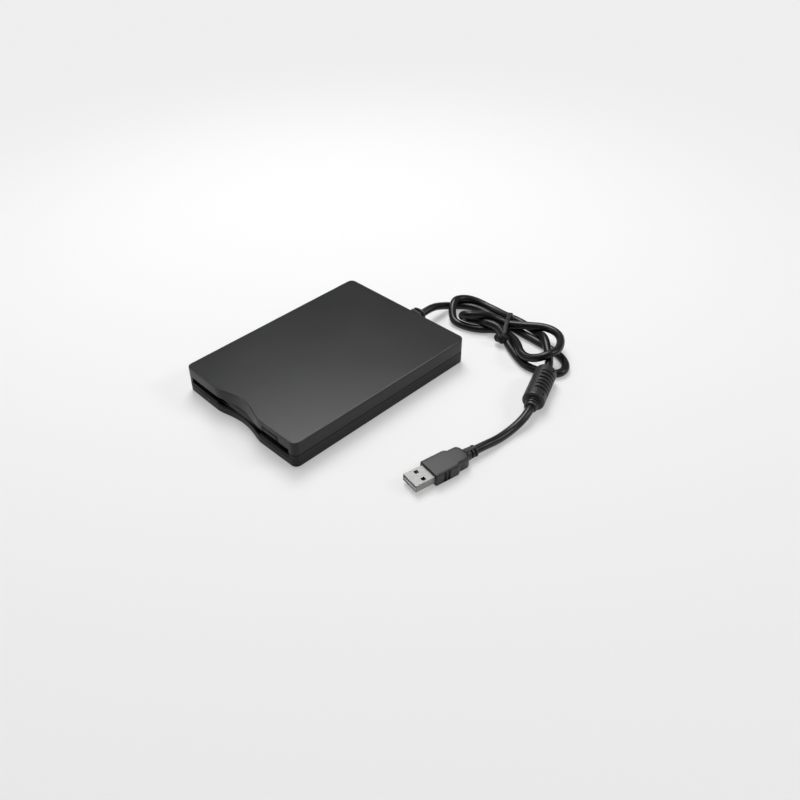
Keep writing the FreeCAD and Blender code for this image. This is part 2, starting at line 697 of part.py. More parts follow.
def make_slide_springs():
    start = slide_back + 4.0
    coils = []
    for x in (-40.0, 40.0):
        coil = rod(1.5, (x, start, slide_z + 0.3), (0, 1, 0), 10.0)
        hook = box(x - 0.3, x + 0.3, start - 3.5, start + 0.5, slide_z, slide_z + sheet)
        coils.append(join([coil, hook]))
    return Part.makeCompound(coils)


def make_led_window():
    block = box(led_x - led_width / 2, led_x + led_width / 2, front_y - 1, chassis_front - 0.6,
                led_z - led_height / 2, led_z + led_height / 2)
    return block.common(case_block(0.05, case_base - 1, case_top))


def make_status_led():
    z = deck_z + board_thickness
    return box(led_x - 1.6, led_x + 1.6, chassis_front + 1, chassis_front + 3, z, z + 1.2)


def make_rubber_feet():
    return Part.makeCompound([rod(foot_radius, (x, y, 0), (0, 0, 1), foot_height) for x, y in foot_places])


def make_case_screws():
    screws = []
    for x, y in boss_places:
        head = stud(screw_head, x, y, case_base + 0.6, case_base + 2, 16)
        shank = stud(screw_shank, x, y, case_base + 1.9, seam_z + 4.2)
        screws.append(join([head, shank]))
    return Part.makeCompound(screws)


def make_chassis_screws():
    screws = []
    for x, y in chassis_screw_places:
        head = stud(1.8, x, y, deck_z, deck_z + base_sheet, 16)
        shank = stud(chassis_screw_shank, x, y, case_base + 0.8, deck_z + 0.1)
        screws.append(join([head, shank]))
    return Part.makeCompound(screws)


def make_strain_relief():
    half = gland_width / 2
    tall = gland_height / 2
    collar = box(gland_x - half, gland_x + half, inner_back - 3.0, inner_back - 0.1,
                 gland_z - tall + 0.4, gland_z + tall - 0.4)
    neck = box(gland_x - 3.3, gland_x + 3.3, inner_back - 0.2, back_y + 0.4, gland_z - 3.2, gland_z + 3.2)
    wide = box(gland_x - half, gland_x + half, back_y + 0.1, gland_end - 3.0, gland_z - tall, gland_z + tall)
    wide = wide.makeFillet(1.6, [e for e in wide.Edges if e.BoundBox.YLength > 1])
    nose = Part.makeCone(4.1, 3.3, 3.2, Vector(gland_x, gland_end - 3.2, gland_z), Vector(0, 1, 0))
    relief = join([collar, neck, wide, nose])
    for y in (back_y + 2.6, back_y + 5.4):
        for side in (-1, 1):
            cut_x = gland_x + side * (half - 0.4)
            relief = relief.cut(box(cut_x - 0.9, cut_x + 0.9, y, y + 1.1, gland_z - 6, gland_z + 6))
        relief = relief.cut(box(gland_x - 2.6, gland_x + 2.6, y, y + 1.1, gland_z + 3.2, gland_z + 6))
    return relief


# A cord's tube: straight runs joined by tangent arcs of one radius, smaller only where a run is short
def cord_tube(name, route):
    points = [Vector(*p) for p in route]
    edges = []
    start = points[0]
    radii = []
    for before, corner, after in zip(points, points[1:], points[2:]):
        back = (before - corner).normalize()
        ahead = (after - corner).normalize()
        turn = math.pi - back.getAngle(ahead)
        room = 0.45 * min((before - corner).Length, (after - corner).Length)
        trim = min(cord_bend * math.tan(turn / 2), room)
        radius = trim / math.tan(turn / 2)
        radii.append(round(radius, 1))
        enter = corner + back * trim
        leave = corner + ahead * trim
        centre = corner + (back + ahead).normalize() * (radius / math.cos(turn / 2))
        middle = centre + (corner - centre).normalize() * radius
        edges.append(Part.LineSegment(start, enter).toShape())
        edges.append(Part.Arc(enter, middle, leave).toShape())
        start = leave
    edges.append(Part.LineSegment(start, points[-1]).toShape())
    path = Part.Wire(edges)
    circle = Part.Circle(points[0], points[1] - points[0], cord_radius).toShape()
    tube = path.makePipeShell([Part.Wire(circle)], True, True)
    length = path.Length
    print(f"{name}: length {length:.1f}, radii {radii}, volume ratio "
          f"{tube.Volume / (math.pi * cord_radius ** 2 * length):.4f}")
    return tube


def level_way(turn):
    return Vector(math.cos(math.radians(turn)), math.sin(math.radians(turn)), 0)


ferrite_way = level_way(ferrite_turn)
ferrite_from = Vector(*ferrite_start, ferrite_radius + 0.1)
ferrite_to = ferrite_from + ferrite_way * (ferrite_length + ferrite_neck)
plug_way = level_way(plug_turn)
plug_from = Vector(*plug_start)


def make_cord_lead():
    return cord_tube("cord_lead", [
        (gland_x, gland_end, gland_z), (gland_x, gland_end + 7.0, gland_z), (gland_x + 0.4, gland_end + 21.5, 4.0),
    ])


def make_cord_hank():
    outline = [
        (-1.2, 112), (-0.6, 124), (6, 131), (28, 130.4), (44.5, 125.4), (56, 126.8), (66, 128.5), (78, 130.4),
        (90, 127.6), (97, 119), (105, 113.4), (110.2, 104), (108.2, 97.2), (97.4, 92.0), (90, 88.8),
        (84, 88.8), (74, 92.4), (64, 99.0), (59.4, 104.6), (47.5, 103.2), (41, 98.5), (34, 94.4),
        (24, 92.2), (15, 93.8), (6, 100.8),
    ]
    return prism_z(outline, 0.05, 0.05 + hank_height)


def make_cord_link():
    start = ferrite_from - ferrite_way * 8.0
    return cord_tube("cord_link", [tuple(start), tuple(ferrite_from)])


def make_cord_tail():
    return cord_tube("cord_tail", [
        tuple(ferrite_to), tuple(ferrite_to + ferrite_way * 8.0), (117.3, 34.0, 3.0),
        tuple(plug_from - plug_way * 9.0), tuple(plug_from),
    ])


def along(base, way, shape):
    placed = shape.copy()
    placed.rotate(Vector(0, 0, 0), Vector(0, 0, 1), way)
    placed.translate(Vector(*base))
    return placed


def make_ferrite_cover():
    chamfer = 1.2
    body = join([
        Part.makeCone(ferrite_radius - chamfer, ferrite_radius, chamfer, Vector(0, 0, 0), Vector(1, 0, 0)),
        rod(ferrite_radius, (chamfer, 0, 0), (1, 0, 0), ferrite_length - 2 * chamfer),
        Part.makeCone(ferrite_radius, ferrite_radius - chamfer, chamfer,
                      Vector(ferrite_length - chamfer, 0, 0), Vector(1, 0, 0)),
        rod(3.9, (ferrite_length - 0.5, 0, 0), (1, 0, 0), ferrite_neck + 0.5),
    ])
    inside = ferrite_radius - ferrite_wall
    cover = body.cut(rod(inside, (3, 0, 0), (1, 0, 0), ferrite_length - 6))
    face = ferrite_radius - 0.8
    for i in range(6):
        x = 7.0 + i * 3.0
        rib_gap = box(x, x + 1.1, -5, 5, face, ferrite_radius + 1)
        rib_gap.rotate(Vector(0, 0, 0), Vector(1, 0, 0), -38)
        cover = cover.cut(rib_gap)
    return along(tuple(ferrite_from), ferrite_turn, cover)


def make_ferrite_core():
    core = rod(ferrite_radius - ferrite_wall, (3, 0, 0), (1, 0, 0), ferrite_length - 6)
    core = core.cut(rod(cord_radius + 0.2, (0, 0, 0), (1, 0, 0), ferrite_length))
    return along(tuple(ferrite_from), ferrite_turn, core)


def plug_place(shape):
    return along(plug_start, plug_turn, shape)


def make_plug_body():
    tall = plug_height / 2
    waist_end = boot_length + waist_length
    grip = box(waist_end, plug_length, -plug_width / 2, plug_width / 2, -tall, tall)
    grip = grip.makeFillet(2.0, [e for e in upright_edges(grip) if e.BoundBox.XMax < waist_end + 1])
    waist = box(boot_length, waist_end + 1, -plug_waist / 2, plug_waist / 2, -tall + 0.2, tall - 0.2)
    waist = waist.makeFillet(1.8, [e for e in upright_edges(waist) if e.BoundBox.XMax < boot_length + 1])
    boot = rod(boot_radius, (0, 0, 0), (1, 0, 0), boot_length + 0.5)
    shape = join([grip, waist, boot])
    for x in (1.6, 4.2):
        for side in (-1, 1):
            rim = side * (boot_radius - 0.3)
            shape = shape.cut(box(x, x + 1.1, rim - 1.1, rim + 1.1, -4, 4))
    for side in (-1, 1):
        hold = side * plug_width / 2
        shape = shape.cut(box(plug_length - 9.5, plug_length - 4.8, hold - 0.7, hold + 0.7, -tall - 1, tall - 0.8))
    return plug_place(shape)


def make_plug_shell():
    tip = plug_length + plug_shell_length
    half = plug_shell_width / 2
    tall = plug_shell_height / 2
    t = plug_shell_sheet
    outer = box(plug_length, tip, -half, half, -tall, tall)
    shell = outer.cut(box(plug_length - 1, tip + 1, t - half, half - t, t - tall, tall - t))
    for y in (-3.2, 3.2):
        shell = shell.cut(box(plug_length + 4.6, plug_length + 7.0, y - 1.2, y + 1.2, -5, 5))
    return plug_place(shell)


def make_plug_insulator():
    low = -plug_shell_height / 2 + plug_shell_sheet
    half = plug_shell_width / 2 - plug_shell_sheet
    tongue = box(plug_length, plug_length + plug_shell_length - 0.4, -half, half, low, low + 1.9)
    return plug_place(tongue)


def make_plug_contacts():
    low = -plug_shell_height / 2 + plug_shell_sheet + 1.9
    strips = []
    for y, length in ((-3.5, 8.9), (-1.0, 7.9), (1.0, 7.9), (3.5, 8.9)):
        strips.append(box(plug_length + 11.6 - length, plug_length + 11.6, y - 0.5, y + 0.5, low, low + contact_sheet))
    return plug_place(Part.makeCompound(strips))


def make_twist_tie():
    over = hank_height + 0.1
    outside = tie_half + tie_thickness
    outer = box(-tie_width / 2, tie_width / 2, -outside, outside, 0.0, over + tie_thickness)
    inner = box(-tie_width, tie_width, -tie_half, tie_half, 0.05, over)
    return along((*tie_centre, 0), tie_turn, outer.cut(inner))


def make_flap_spring():
    coil = rod(1.3, (18.2, flap_axis_y, flap_axis_z), (1, 0, 0), 2.2)
    return coil.cut(rod(flap_barrel_radius + 0.1, (18, flap_axis_y, flap_axis_z), (1, 0, 0), 3))


nodes = {
    "top_shell": make_top_shell,
    "bottom_shell": make_bottom_shell,
    "front_frame": make_front_frame,
    "slot_flap": make_slot_flap,
    "flap_spring": make_flap_spring,
    "eject_button": make_eject_button,
    "slide_plate": make_slide_plate,
    "disk_holder": make_disk_holder,
    "shutter_lever": make_shutter_lever,
    "drive_chassis": make_drive_chassis,
    "drive_cover": make_drive_cover,
    "spindle_bearing": make_spindle_bearing,
    "spindle_board": make_spindle_board,
    "spindle_stator": make_spindle_stator,
    "spindle_rotor": make_spindle_rotor,
    "head_carriage": make_head_carriage,
    "upper_head_arm": make_upper_head_arm,
    "guide_rod": make_guide_rod,
    "stepper_motor": make_stepper_motor,
    "lead_screw": make_lead_screw,
    "drive_board": make_drive_board,
    "drive_board_parts": make_drive_board_parts,
    "usb_board": make_usb_board,
    "usb_board_parts": make_usb_board_parts,
    "ribbon_cable": make_ribbon_cable,
    "slide_springs": make_slide_springs,
    "led_window": make_led_window,
    "status_led": make_status_led,
    "rubber_feet": make_rubber_feet,
    "case_screws": make_case_screws,
    "chassis_screws": make_chassis_screws,
    "strain_relief": make_strain_relief,
    "cord_lead": make_cord_lead,
    "cord_hank": make_cord_hank,
    "cord_link": make_cord_link,
    "cord_tail": make_cord_tail,
    "ferrite_cover": make_ferrite_cover,
    "ferrite_core": make_ferrite_core,
    "plug_body": make_plug_body,
    "plug_shell": make_plug_shell,
    "plug_insulator": make_plug_insulator,
    "plug_contacts": make_plug_contacts,
    "twist_tie": make_twist_tie,
}

os.makedirs("parts", exist_ok=True)
for name, make in nodes.items():
    shape = make()
    solids = shape.Solids
    box_now = shape.BoundBox
    print(f"{name}: {len(solids)} solid(s), valid {shape.isValid()}, volume {shape.Volume:.1f}, "
          f"z {box_now.ZMin:.2f} to {box_now.ZMax:.2f}")
    shape.exportStep(f"parts/{name}.step")
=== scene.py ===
import math

import bmesh
import bpy
from mathutils import Matrix, Vector


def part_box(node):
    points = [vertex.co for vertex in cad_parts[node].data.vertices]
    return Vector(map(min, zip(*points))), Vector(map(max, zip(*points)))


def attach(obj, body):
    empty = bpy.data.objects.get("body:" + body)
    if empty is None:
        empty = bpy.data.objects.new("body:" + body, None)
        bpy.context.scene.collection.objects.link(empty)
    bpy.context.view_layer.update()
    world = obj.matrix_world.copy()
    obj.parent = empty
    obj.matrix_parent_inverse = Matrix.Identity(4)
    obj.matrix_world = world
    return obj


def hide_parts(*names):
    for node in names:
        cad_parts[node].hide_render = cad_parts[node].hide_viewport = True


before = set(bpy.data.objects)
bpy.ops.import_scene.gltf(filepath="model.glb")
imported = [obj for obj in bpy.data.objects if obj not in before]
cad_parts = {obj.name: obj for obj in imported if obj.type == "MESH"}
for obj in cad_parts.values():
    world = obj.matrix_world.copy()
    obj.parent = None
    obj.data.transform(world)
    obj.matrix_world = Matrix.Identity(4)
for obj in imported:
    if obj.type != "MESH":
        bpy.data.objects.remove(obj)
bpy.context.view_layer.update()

mm = 0.001
scene = bpy.context.scene


def linked(name, data):
    made = bpy.data.objects.new(name, data)
    scene.collection.objects.link(made)
    return made


# The camera, with its sideways lens shift, looks down on the front right corner
camera = {
    "turn": 50.28,  # degrees round the object
    "height": 37.48,  # degrees above the table
    "roll": -3.71,
    "distance": 0.53655,
    "aim": Vector((0, 0, 0.0005)),
    "lens": 37.851,
    "sensor": 36,
    "nearest": 0.01,
    "shift": (0.09055, -0.03183),
}


def placeCamera(view):
    turn, height, roll = (math.radians(view[k]) for k in ("turn", "height", "roll"))
    back = Vector((math.sin(turn) * math.cos(height), -math.cos(turn) * math.cos(height),
                   math.sin(height)))
    level = Vector((math.cos(turn), math.sin(turn), 0))
    upright = back.cross(level)
    right = math.cos(roll) * level + math.sin(roll) * upright
    up = math.cos(roll) * upright - math.sin(roll) * level
    lens = bpy.data.cameras.new("camera")
    lens.lens = view["lens"]
    lens.sensor_width = view["sensor"]
    lens.shift_x, lens.shift_y = view["shift"]
    lens.clip_start = view["nearest"]
    holder = linked("camera", lens)
    turned = Matrix((right, up, back)).transposed().to_4x4()
    holder.matrix_world = Matrix.Translation(back * view["distance"] + view["aim"]) @ turned
    scene.camera = holder
    scene.view_settings.view_transform = "Standard"


placeCamera(camera)
print("camera set")


# Mesh helpers. Points are in millimetres, and meshes in metres.
def meshOf(name, points, faces):
    mesh = bpy.data.meshes.new(name)
    mesh.from_pydata([Vector(p) * mm for p in points], [], faces)
    sides = bmesh.new()
    sides.from_mesh(mesh)
    bmesh.ops.recalc_face_normals(sides, faces=sides.faces)
    sides.to_mesh(mesh)
    sides.free()
    return mesh


def smooth(mesh, degrees=35):
    mesh.shade_smooth()
    mesh.set_sharp_from_angle(angle=math.radians(degrees))
    return mesh


# The mesh that an object with these modifiers shows
def worked(mesh, change):
    holder = linked("holder", mesh)
    change(holder)
    graph = bpy.context.evaluated_depsgraph_get()
    result = bpy.data.meshes.new_from_object(
        holder.evaluated_get(graph), preserve_all_data_layers=True, depsgraph=graph)
    bpy.data.objects.remove(holder)
    return result


def bevelled(mesh, width, degrees=40):
    def change(holder):
        bevel = holder.modifiers.new("bevel", "BEVEL")
        bevel.width = width * mm
        bevel.segments = 2
        bevel.limit_method = "ANGLE"
        bevel.angle_limit = math.radians(degrees)
        bevel.harden_normals = True
        bevel.use_clamp_overlap = True
    mesh.shade_smooth()
    return worked(mesh, change)


def carved(mesh, cutters):
    def change(holder):
        for cutter in cutters:
            tool = linked("tool", cutter)
            tools.append(tool)
            cut = holder.modifiers.new("cut", "BOOLEAN")
            cut.operation = "DIFFERENCE"
            cut.solver = "EXACT"
            cut.object = tool
    tools = []
    result = worked(mesh, change)
    for tool in tools:
        bpy.data.objects.remove(tool)
    return result


def joined(name, meshes):
    whole = bmesh.new()
    for mesh in meshes:
        whole.from_mesh(mesh)
    result = bpy.data.meshes.new(name)
    whole.to_mesh(result)
    whole.free()
    return result


# The turns of a circle in this many steps
def circle(count):
    return [2 * math.pi * i / count for i in range(count)]


def clamp(value):
    return min(1.0, max(0.0, value))


# Rings of points skinned into a tube, capped at its ends, or endless for a ring-shaped piece
def lofted(name, rings, endless=False):
    count, last = len(rings[0]), len(rings) - 1
    faces = []
    for i in range(len(rings) if endless else last):
        here, following = i * count, (i + 1) % len(rings) * count
        for j in range(count):
            k = (j + 1) % count
            faces.append((here + j, here + k, following + k, following + j))
    if not endless:
        faces.append(tuple(reversed(range(count))))
        faces.append(tuple(range(last * count, len(rings) * count)))
    return meshOf(name, [p for ring in rings for p in ring], faces)


# A CAD node's faces, merged from its triangles
def solidOf(name):
    sides = bmesh.new()
    sides.from_mesh(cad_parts[name].data)
    bmesh.ops.remove_doubles(sides, verts=sides.verts, dist=1e-7)
    bmesh.ops.dissolve_limit(
        sides, angle_limit=math.radians(1), verts=sides.verts, edges=sides.edges)
    mesh = bpy.data.meshes.new(name + "Faces")
    sides.to_mesh(mesh)
    sides.free()
    return mesh


def newPiece(name, mesh, material, replaced, body="case"):
    piece = linked(name, mesh)
    mesh.materials.clear()
    mesh.materials.append(materials[material])
    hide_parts(*replaced)
    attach(piece, body)


# A piece that is its CAD node with broken edges
def dressed(name, cadNode, material, edge, body="case", degrees=40):
    newPiece(name, bevelled(solidOf(cadNode), edge, degrees), material, [cadNode], body)


# Node helpers. A source is a plain value, a socket, or a node for its first output.
def feed(tree, source, socket):
    if isinstance(source, bpy.types.Node):
        source = source.outputs[0]
    if isinstance(source, bpy.types.NodeSocket):
        tree.links.new(source, socket)
    else:
        socket.default_value = source


def add(tree, kind, settings=None, **sources):
    made = tree.nodes.new(kind)
    for key, value in (settings or {}).items():
        setattr(made, key, value)
    for key, source in sources.items():
        feed(tree, source, made.inputs[key.replace("_", " ")])
    return made


def calc(tree, operation, *sources):
    made = add(tree, "ShaderNodeMath", {"operation": operation})
    for source, socket in zip(sources, made.inputs):
        feed(tree, source, socket)
    return made


# A tree with named lengths, and perhaps turns. Its result is made real and gets its material.
def newTree(name, lengths, turns=None):
    tree = bpy.data.node_groups.new(name, "GeometryNodeTree")
    sockets = [("Geometry", "OUTPUT", "Geometry"), ("Places", "INPUT", "Geometry")]
    sockets += [(label, "INPUT", "Float") for label in lengths]
    if turns:
        sockets += [("Turns", "INPUT", turns), ("Rotation", "INPUT", "Vector")]
    for label, side, kind in sockets + [("Material", "INPUT", "Material")]:
        tree.interface.new_socket(label, in_out=side, socket_type="NodeSocket" + kind)
    given = tree.nodes.new("NodeGroupInput").outputs
    real = add(tree, "GeometryNodeRealizeInstances")
    paint = add(tree, "GeometryNodeSetMaterial", Geometry=real, Material=given["Material"])
    feed(tree, paint, tree.nodes.new("NodeGroupOutput").inputs[0])
    return tree, given, real.inputs[0]


# What a tree makes at these places, as a plain mesh
def grown(tree, places, values, material):
    def change(holder):
        maker = holder.modifiers.new("maker", "NODES")
        maker.node_group = tree
        named = {item.name: item.identifier for item in tree.interface.items_tree
                 if item.in_out == "INPUT"}
        for label, value in values.items():
            maker[named[label]] = value
        maker[named["Material"]] = materials[material]
    dots = bpy.data.meshes.new("places")
    dots.from_pydata([Vector(p) * mm for p in places], [], [])
    return worked(dots, change)


def rgba(tone):
    return (*tone, 1) if isinstance(tone, tuple) else (tone, tone, tone, 1)


def blended(tree, share, first, second):
    made = add(tree, "ShaderNodeMix", {"data_type": "RGBA"})
    for source, slot in ((share, 0), (first, 6), (second, 7)):
        feed(tree, source, made.inputs[slot])
    return made.outputs[2]


def emptyMaterial(name):
    material = bpy.data.materials.new(name)
    material.use_nodes = True
    material.node_tree.nodes.clear()
    return material, material.node_tree


materials = {}
grainDepth = 0.00005


# The rounded rim of a moulding is left smoother than its grained faces, most so at 45 degrees
def shineOfRim(tree, coords, plain, rim):
    parts = add(tree, "ShaderNodeSeparateXYZ", Vector=coords.outputs["Normal"])
    upward = calc(tree, "MULTIPLY", parts.outputs["Z"], parts.outputs["Z"])
    slant = calc(tree, "MULTIPLY", upward, calc(tree, "SUBTRACT", 1, upward))
    # The slant is at most a quarter
    return calc(tree, "MULTIPLY_ADD", slant, 4 * (rim - plain), plain)


# A moulded, painted or plated surface: a slow drift of tone, a fine grain, and rubbed patches
def surface(name, dark, light, smoothest, roughest, shine=0.5, rimShine=None, metal=0,
            driftScale=45, grainScale=4500, grainStrength=0.25, stretch=(1, 1, 1),
            stripe=None, stripeScale=0, glow=None, glowPower=0):
    material, tree = emptyMaterial(name)
    coords = add(tree, "ShaderNodeTexCoord")
    spread = add(tree, "ShaderNodeMapping", Vector=coords.outputs["Object"], Scale=stretch)

    def noise(scale, detail):
        made = add(tree, "ShaderNodeTexNoise", Vector=spread, Scale=scale, Detail=detail)
        return made.outputs["Fac"]

    drift, grain = noise(driftScale, 4), noise(grainScale, 3)
    colour = blended(tree, drift, rgba(dark), rgba(light))
    if stripe:
        wave = add(tree, "ShaderNodeTexWave", Vector=spread, Scale=stripeScale)
        colour = blended(tree, wave.outputs["Fac"], colour, rgba(stripe))
    bump = add(tree, "ShaderNodeBump", Strength=grainStrength, Distance=grainDepth, Height=grain)
    rub = calc(tree, "MULTIPLY_ADD", grain, 0.5, calc(tree, "MULTIPLY", drift, 0.5))
    rough = add(tree, "ShaderNodeMapRange", Value=rub, To_Min=smoothest, To_Max=roughest)
    if rimShine:
        shine = shineOfRim(tree, coords, shine, rimShine)
    shader = add(tree, "ShaderNodeBsdfPrincipled", Base_Color=colour, Normal=bump,
                 Roughness=rough, Metallic=metal, Specular_IOR_Level=shine)
    if glow:
        feed(tree, rgba(glow), shader.inputs["Emission Color"])
        feed(tree, glowPower, shader.inputs["Emission Strength"])
    add(tree, "ShaderNodeOutputMaterial", Surface=shader)
    materials[name] = material


# Tones are linear: one number for a grey, three for a colour
surface("lid", (0.0105, 0.0105, 0.0115), (0.015, 0.015, 0.016), 0.26, 0.36, shine=0.25,
        rimShine=1.0, grainScale=3800, grainStrength=0.15)
surface("tray", 0.021, 0.027, 0.40, 0.52, shine=0.15, grainScale=3200, grainStrength=0.2)
surface("trim", 0.009, 0.013, 0.40, 0.52, shine=0.22)
surface("cord", 0.005, 0.008, 0.29, 0.40, shine=0.34, grainScale=1500, grainStrength=0.1)
surface("grip", 0.014, 0.019, 0.42, 0.5, grainScale=5200, grainStrength=0.08)
surface("rubber", 0.020, (0.034, 0.034, 0.033), 0.7, 0.85, grainScale=2200, grainStrength=0.35)
surface("strap", 0.006, 0.010, 0.42, 0.6, shine=0.3, grainScale=2600, grainStrength=0.35)
surface("window", (0.012, 0.008, 0.008), (0.018, 0.011, 0.011), 0.30, 0.42, shine=0.25,
        grainScale=900, grainStrength=0.03)
surface("lens", (0.16, 0.30, 0.06), (0.22, 0.40, 0.08), 0.15, 0.25, glow=(0.1, 0.3, 0.03),
        glowPower=0.1)
surface("zinc", (0.50, 0.51, 0.52), (0.66, 0.67, 0.67), 0.24, 0.46, metal=1.0, driftScale=320,
        grainScale=1800, grainStrength=0.1)
surface("steel", (0.55, 0.55, 0.56), 0.68, 0.2, 0.34, metal=1.0, stretch=(1, 0.06, 1),
        grainScale=3000, grainStrength=0.12)
surface("nickel", (0.28, 0.28, 0.275), (0.335, 0.335, 0.33), 0.50, 0.60, metal=0.65, driftScale=160,
        grainScale=5200, grainStrength=0.03)
surface("gold", (0.72, 0.50, 0.20), (0.85, 0.62, 0.28), 0.2, 0.3, metal=1.0)
surface("copper", (0.48, 0.18, 0.08), (0.62, 0.26, 0.12), 0.25, 0.4, metal=1.0, driftScale=600)
surface("tongue", (0.64, 0.64, 0.63), (0.72, 0.72, 0.71), 0.4, 0.5, grainScale=2500,
        grainStrength=0.1)
surface("board", (0.010, 0.085, 0.030), (0.016, 0.125, 0.045), 0.28, 0.42, driftScale=380,
        grainScale=1400)
surface("chip", (0.020, 0.020, 0.021), (0.034, 0.034, 0.035), 0.5, 0.66, driftScale=500)
surface("ribbon", (0.60, 0.60, 0.58), (0.70, 0.70, 0.68), 0.34, 0.44, stripe=0.30, stripeScale=320,
        stretch=(1, 0.02, 0.02))
surface("ferrite", (0.035, 0.034, 0.034), (0.060, 0.058, 0.057), 0.55, 0.75, driftScale=700,
        grainScale=2800, grainStrength=0.4)
surface("nylon", (0.56, 0.55, 0.50), (0.66, 0.65, 0.60), 0.42, 0.55)
surface("spring", (0.42, 0.42, 0.43), (0.56, 0.56, 0.57), 0.2, 0.35, metal=1.0, driftScale=500)

# The finish of every CAD node that stays in view
finishes = {
    "slide_plate": "zinc", "disk_holder": "zinc", "shutter_lever": "nylon", "drive_chassis": "zinc",
    "drive_cover": "zinc", "spindle_bearing": "gold", "spindle_board": "board",
    "spindle_rotor": "steel", "head_carriage": "nylon", "upper_head_arm": "nylon",
    "guide_rod": "steel", "stepper_motor": "steel", "lead_screw": "steel", "drive_board": "board",
    "drive_board_parts": "chip", "usb_board": "board", "usb_board_parts": "chip",
    "ribbon_cable": "ribbon", "ferrite_core": "ferrite", "status_led": "lens",
}
for name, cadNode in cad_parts.items():
    cadNode.data.materials.clear()
    cadNode.data.materials.append(materials[finishes.get(name, "trim")])
print("materials made")


# The case: two skins of rings, one at each height, that share the edges of the openings
case = {
    "half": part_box("top_shell")[1][0] / mm,
    "front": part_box("bottom_shell")[0][1] / mm,
    "back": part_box("top_shell")[1][1] / mm,
    "base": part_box("bottom_shell")[0][2] / mm,
    "top": 18.5,
    "seam": 9.2,
    "wall": 1.8,
    "corner": 4.0,
    "cornerTurns": [i * math.pi / 16 for i in range(1, 8)],
    "frontMarks": (22.2, 42.0, 33.5, 30.0),  # stations along the front, on both sides
    "sideMarks": [12.6 + 18.6 * i for i in range(7)],
    "backMarks": (-36, -24, -12, 16, 28, 40),
    "crown": 0.6,
    "groove": 0.4,
    "lipBevel": 0.35,
    "lipStrip": 0.75,  # height of the strip under the slot
    "lipGroove": 0.4,
    "lipStep": 0.02,
    "floor": 2.1,
    "ceiling": 16.7,
    "frontRound": 0.65,  # radius of the lid's edge
    "sideRound": 0.75,
    "roundSteps": 8,
    "baseRound": 0.8,
    "baseSteps": 5,
    "step": 0.05,  # size of the ring that ends a rounding or a groove
    "flat": 3.6,  # inset of the last ring, which a single face closes
    "margin": 0.1,  # allowed when heights and places are compared
}
scoop = {
    "half": 20.5,
    "strips": 17,  # across each half
    "depths": ((-0.5, 3.5), (10.0, 2.5), (19.5, 5.2)),  # how deep at each height
    "wall": 1.3,
    "flare": 3.0,
    "thinned": (5.9, 6.75, 0.75),  # the tray's wall thins by this much between these heights
}
openings = {
    "slotHalf": 46.6, "slotTop": 12.1, "lip": 6.75,
    "keyLeft": 23.8, "keyRight": 37.65, "keyTop": 15.75,
    "lightLeft": -31.55, "lightRight": -27.45, "lightLow": 2.95, "lightHigh": 4.65,
    "cordLeft": 1.1, "cordRight": 7.9, "cordLow": 5.9, "cordHigh": 12.5,
}


def scoopDepth(x, z, deeper=0.0, wider=0.0):
    first, second, third = scoop["depths"]
    (z0, d0), (z1, d1) = (first, second) if z < second[0] else (second, third)
    depth = d0 + (z - z0) / (z1 - z0) * (d1 - d0)
    u = x / (scoop["half"] + wider)
    return (depth + deeper) * (1 - u * u) ** 1.5 if abs(u) < 1 else 0.0


# Stations round the plan: a side, and a place along it or the turn at a corner
def stationsRound():
    strips = scoop["strips"]
    marks = [scoop["half"] / strips * i for i in range(-strips, strips + 1)]
    marks += [side * x for side in (-1, 1) for x in (openings["slotHalf"], *case["frontMarks"])]
    marks += [openings[k] for k in ("keyLeft", "keyRight", "lightLeft", "lightRight")]
    edge = case["half"] - case["corner"]
    marks += [-edge, edge]
    frontEnd = case["front"] + case["corner"]
    backEnd = case["back"] - case["corner"]
    sides = [frontEnd + y for y in (case["crown"], *case["sideMarks"])] + [backEnd]
    backs = sorted((-edge, *case["backMarks"], openings["cordLeft"], openings["cordRight"], edge))

    def corner(name):
        return [(name, turn) for turn in case["cornerTurns"]]

    stations = [("front", x) for x in sorted(marks)] + corner("frontRight")
    stations += [("right", y) for y in sides] + corner("backRight")
    stations += [("back", x) for x in reversed(backs)] + corner("backLeft")
    return stations + [("left", y) for y in reversed(sides)] + corner("frontLeft")


def edgePoint(station, z, inset, inner=False):
    side, at = station
    half, front, back, corner = (case[k] for k in ("half", "front", "back", "corner"))
    bend = corner - inset
    frontCorner = front + case["crown"] * ((half - corner) / half) ** 2 + corner
    if side == "front":
        y = front + case["crown"] * (at / half) ** 2 + inset
        if inner:
            low, high, less = scoop["thinned"]
            thin = less * clamp((z - low) / (high - low)) if z < high + case["margin"] else 0
            y = max(y - thin, front + scoopDepth(at, z, scoop["wall"] - thin, scoop["flare"]))
        else:
            y += scoopDepth(at, z)
        return at, y, z
    if side == "right":
        return half - inset, max(at, frontCorner), z
    if side == "left":
        return inset - half, max(at, frontCorner), z
    if side == "back":
        return at, back - inset, z
    outward, along = bend * math.cos(at), bend * math.sin(at)
    if side in ("frontRight", "backLeft"):
        outward, along = along, outward
    x = half - corner + outward
    y = frontCorner - along if "front" in side else back - corner + along
    return (x if "Right" in side else -x), y, z


# Whether the wall between two stations and two heights is open
def isOpen(here, following, low, high):
    o = openings
    x = (here[1] + following[1]) / 2
    z = (low + high) / 2
    if here[0] == following[0] == "back":
        return o["cordLeft"] < x < o["cordRight"] and o["cordLow"] < z < o["cordHigh"]
    if not here[0] == following[0] == "front":
        return False
    slot = abs(x) < o["slotHalf"] and o["lip"] < z < o["slotTop"]
    key = o["keyLeft"] < x < o["keyRight"] and o["slotTop"] < z < o["keyTop"]
    light = o["lightLeft"] < x < o["lightRight"] and o["lightLow"] < z < o["lightHigh"]
    return slot or key or light


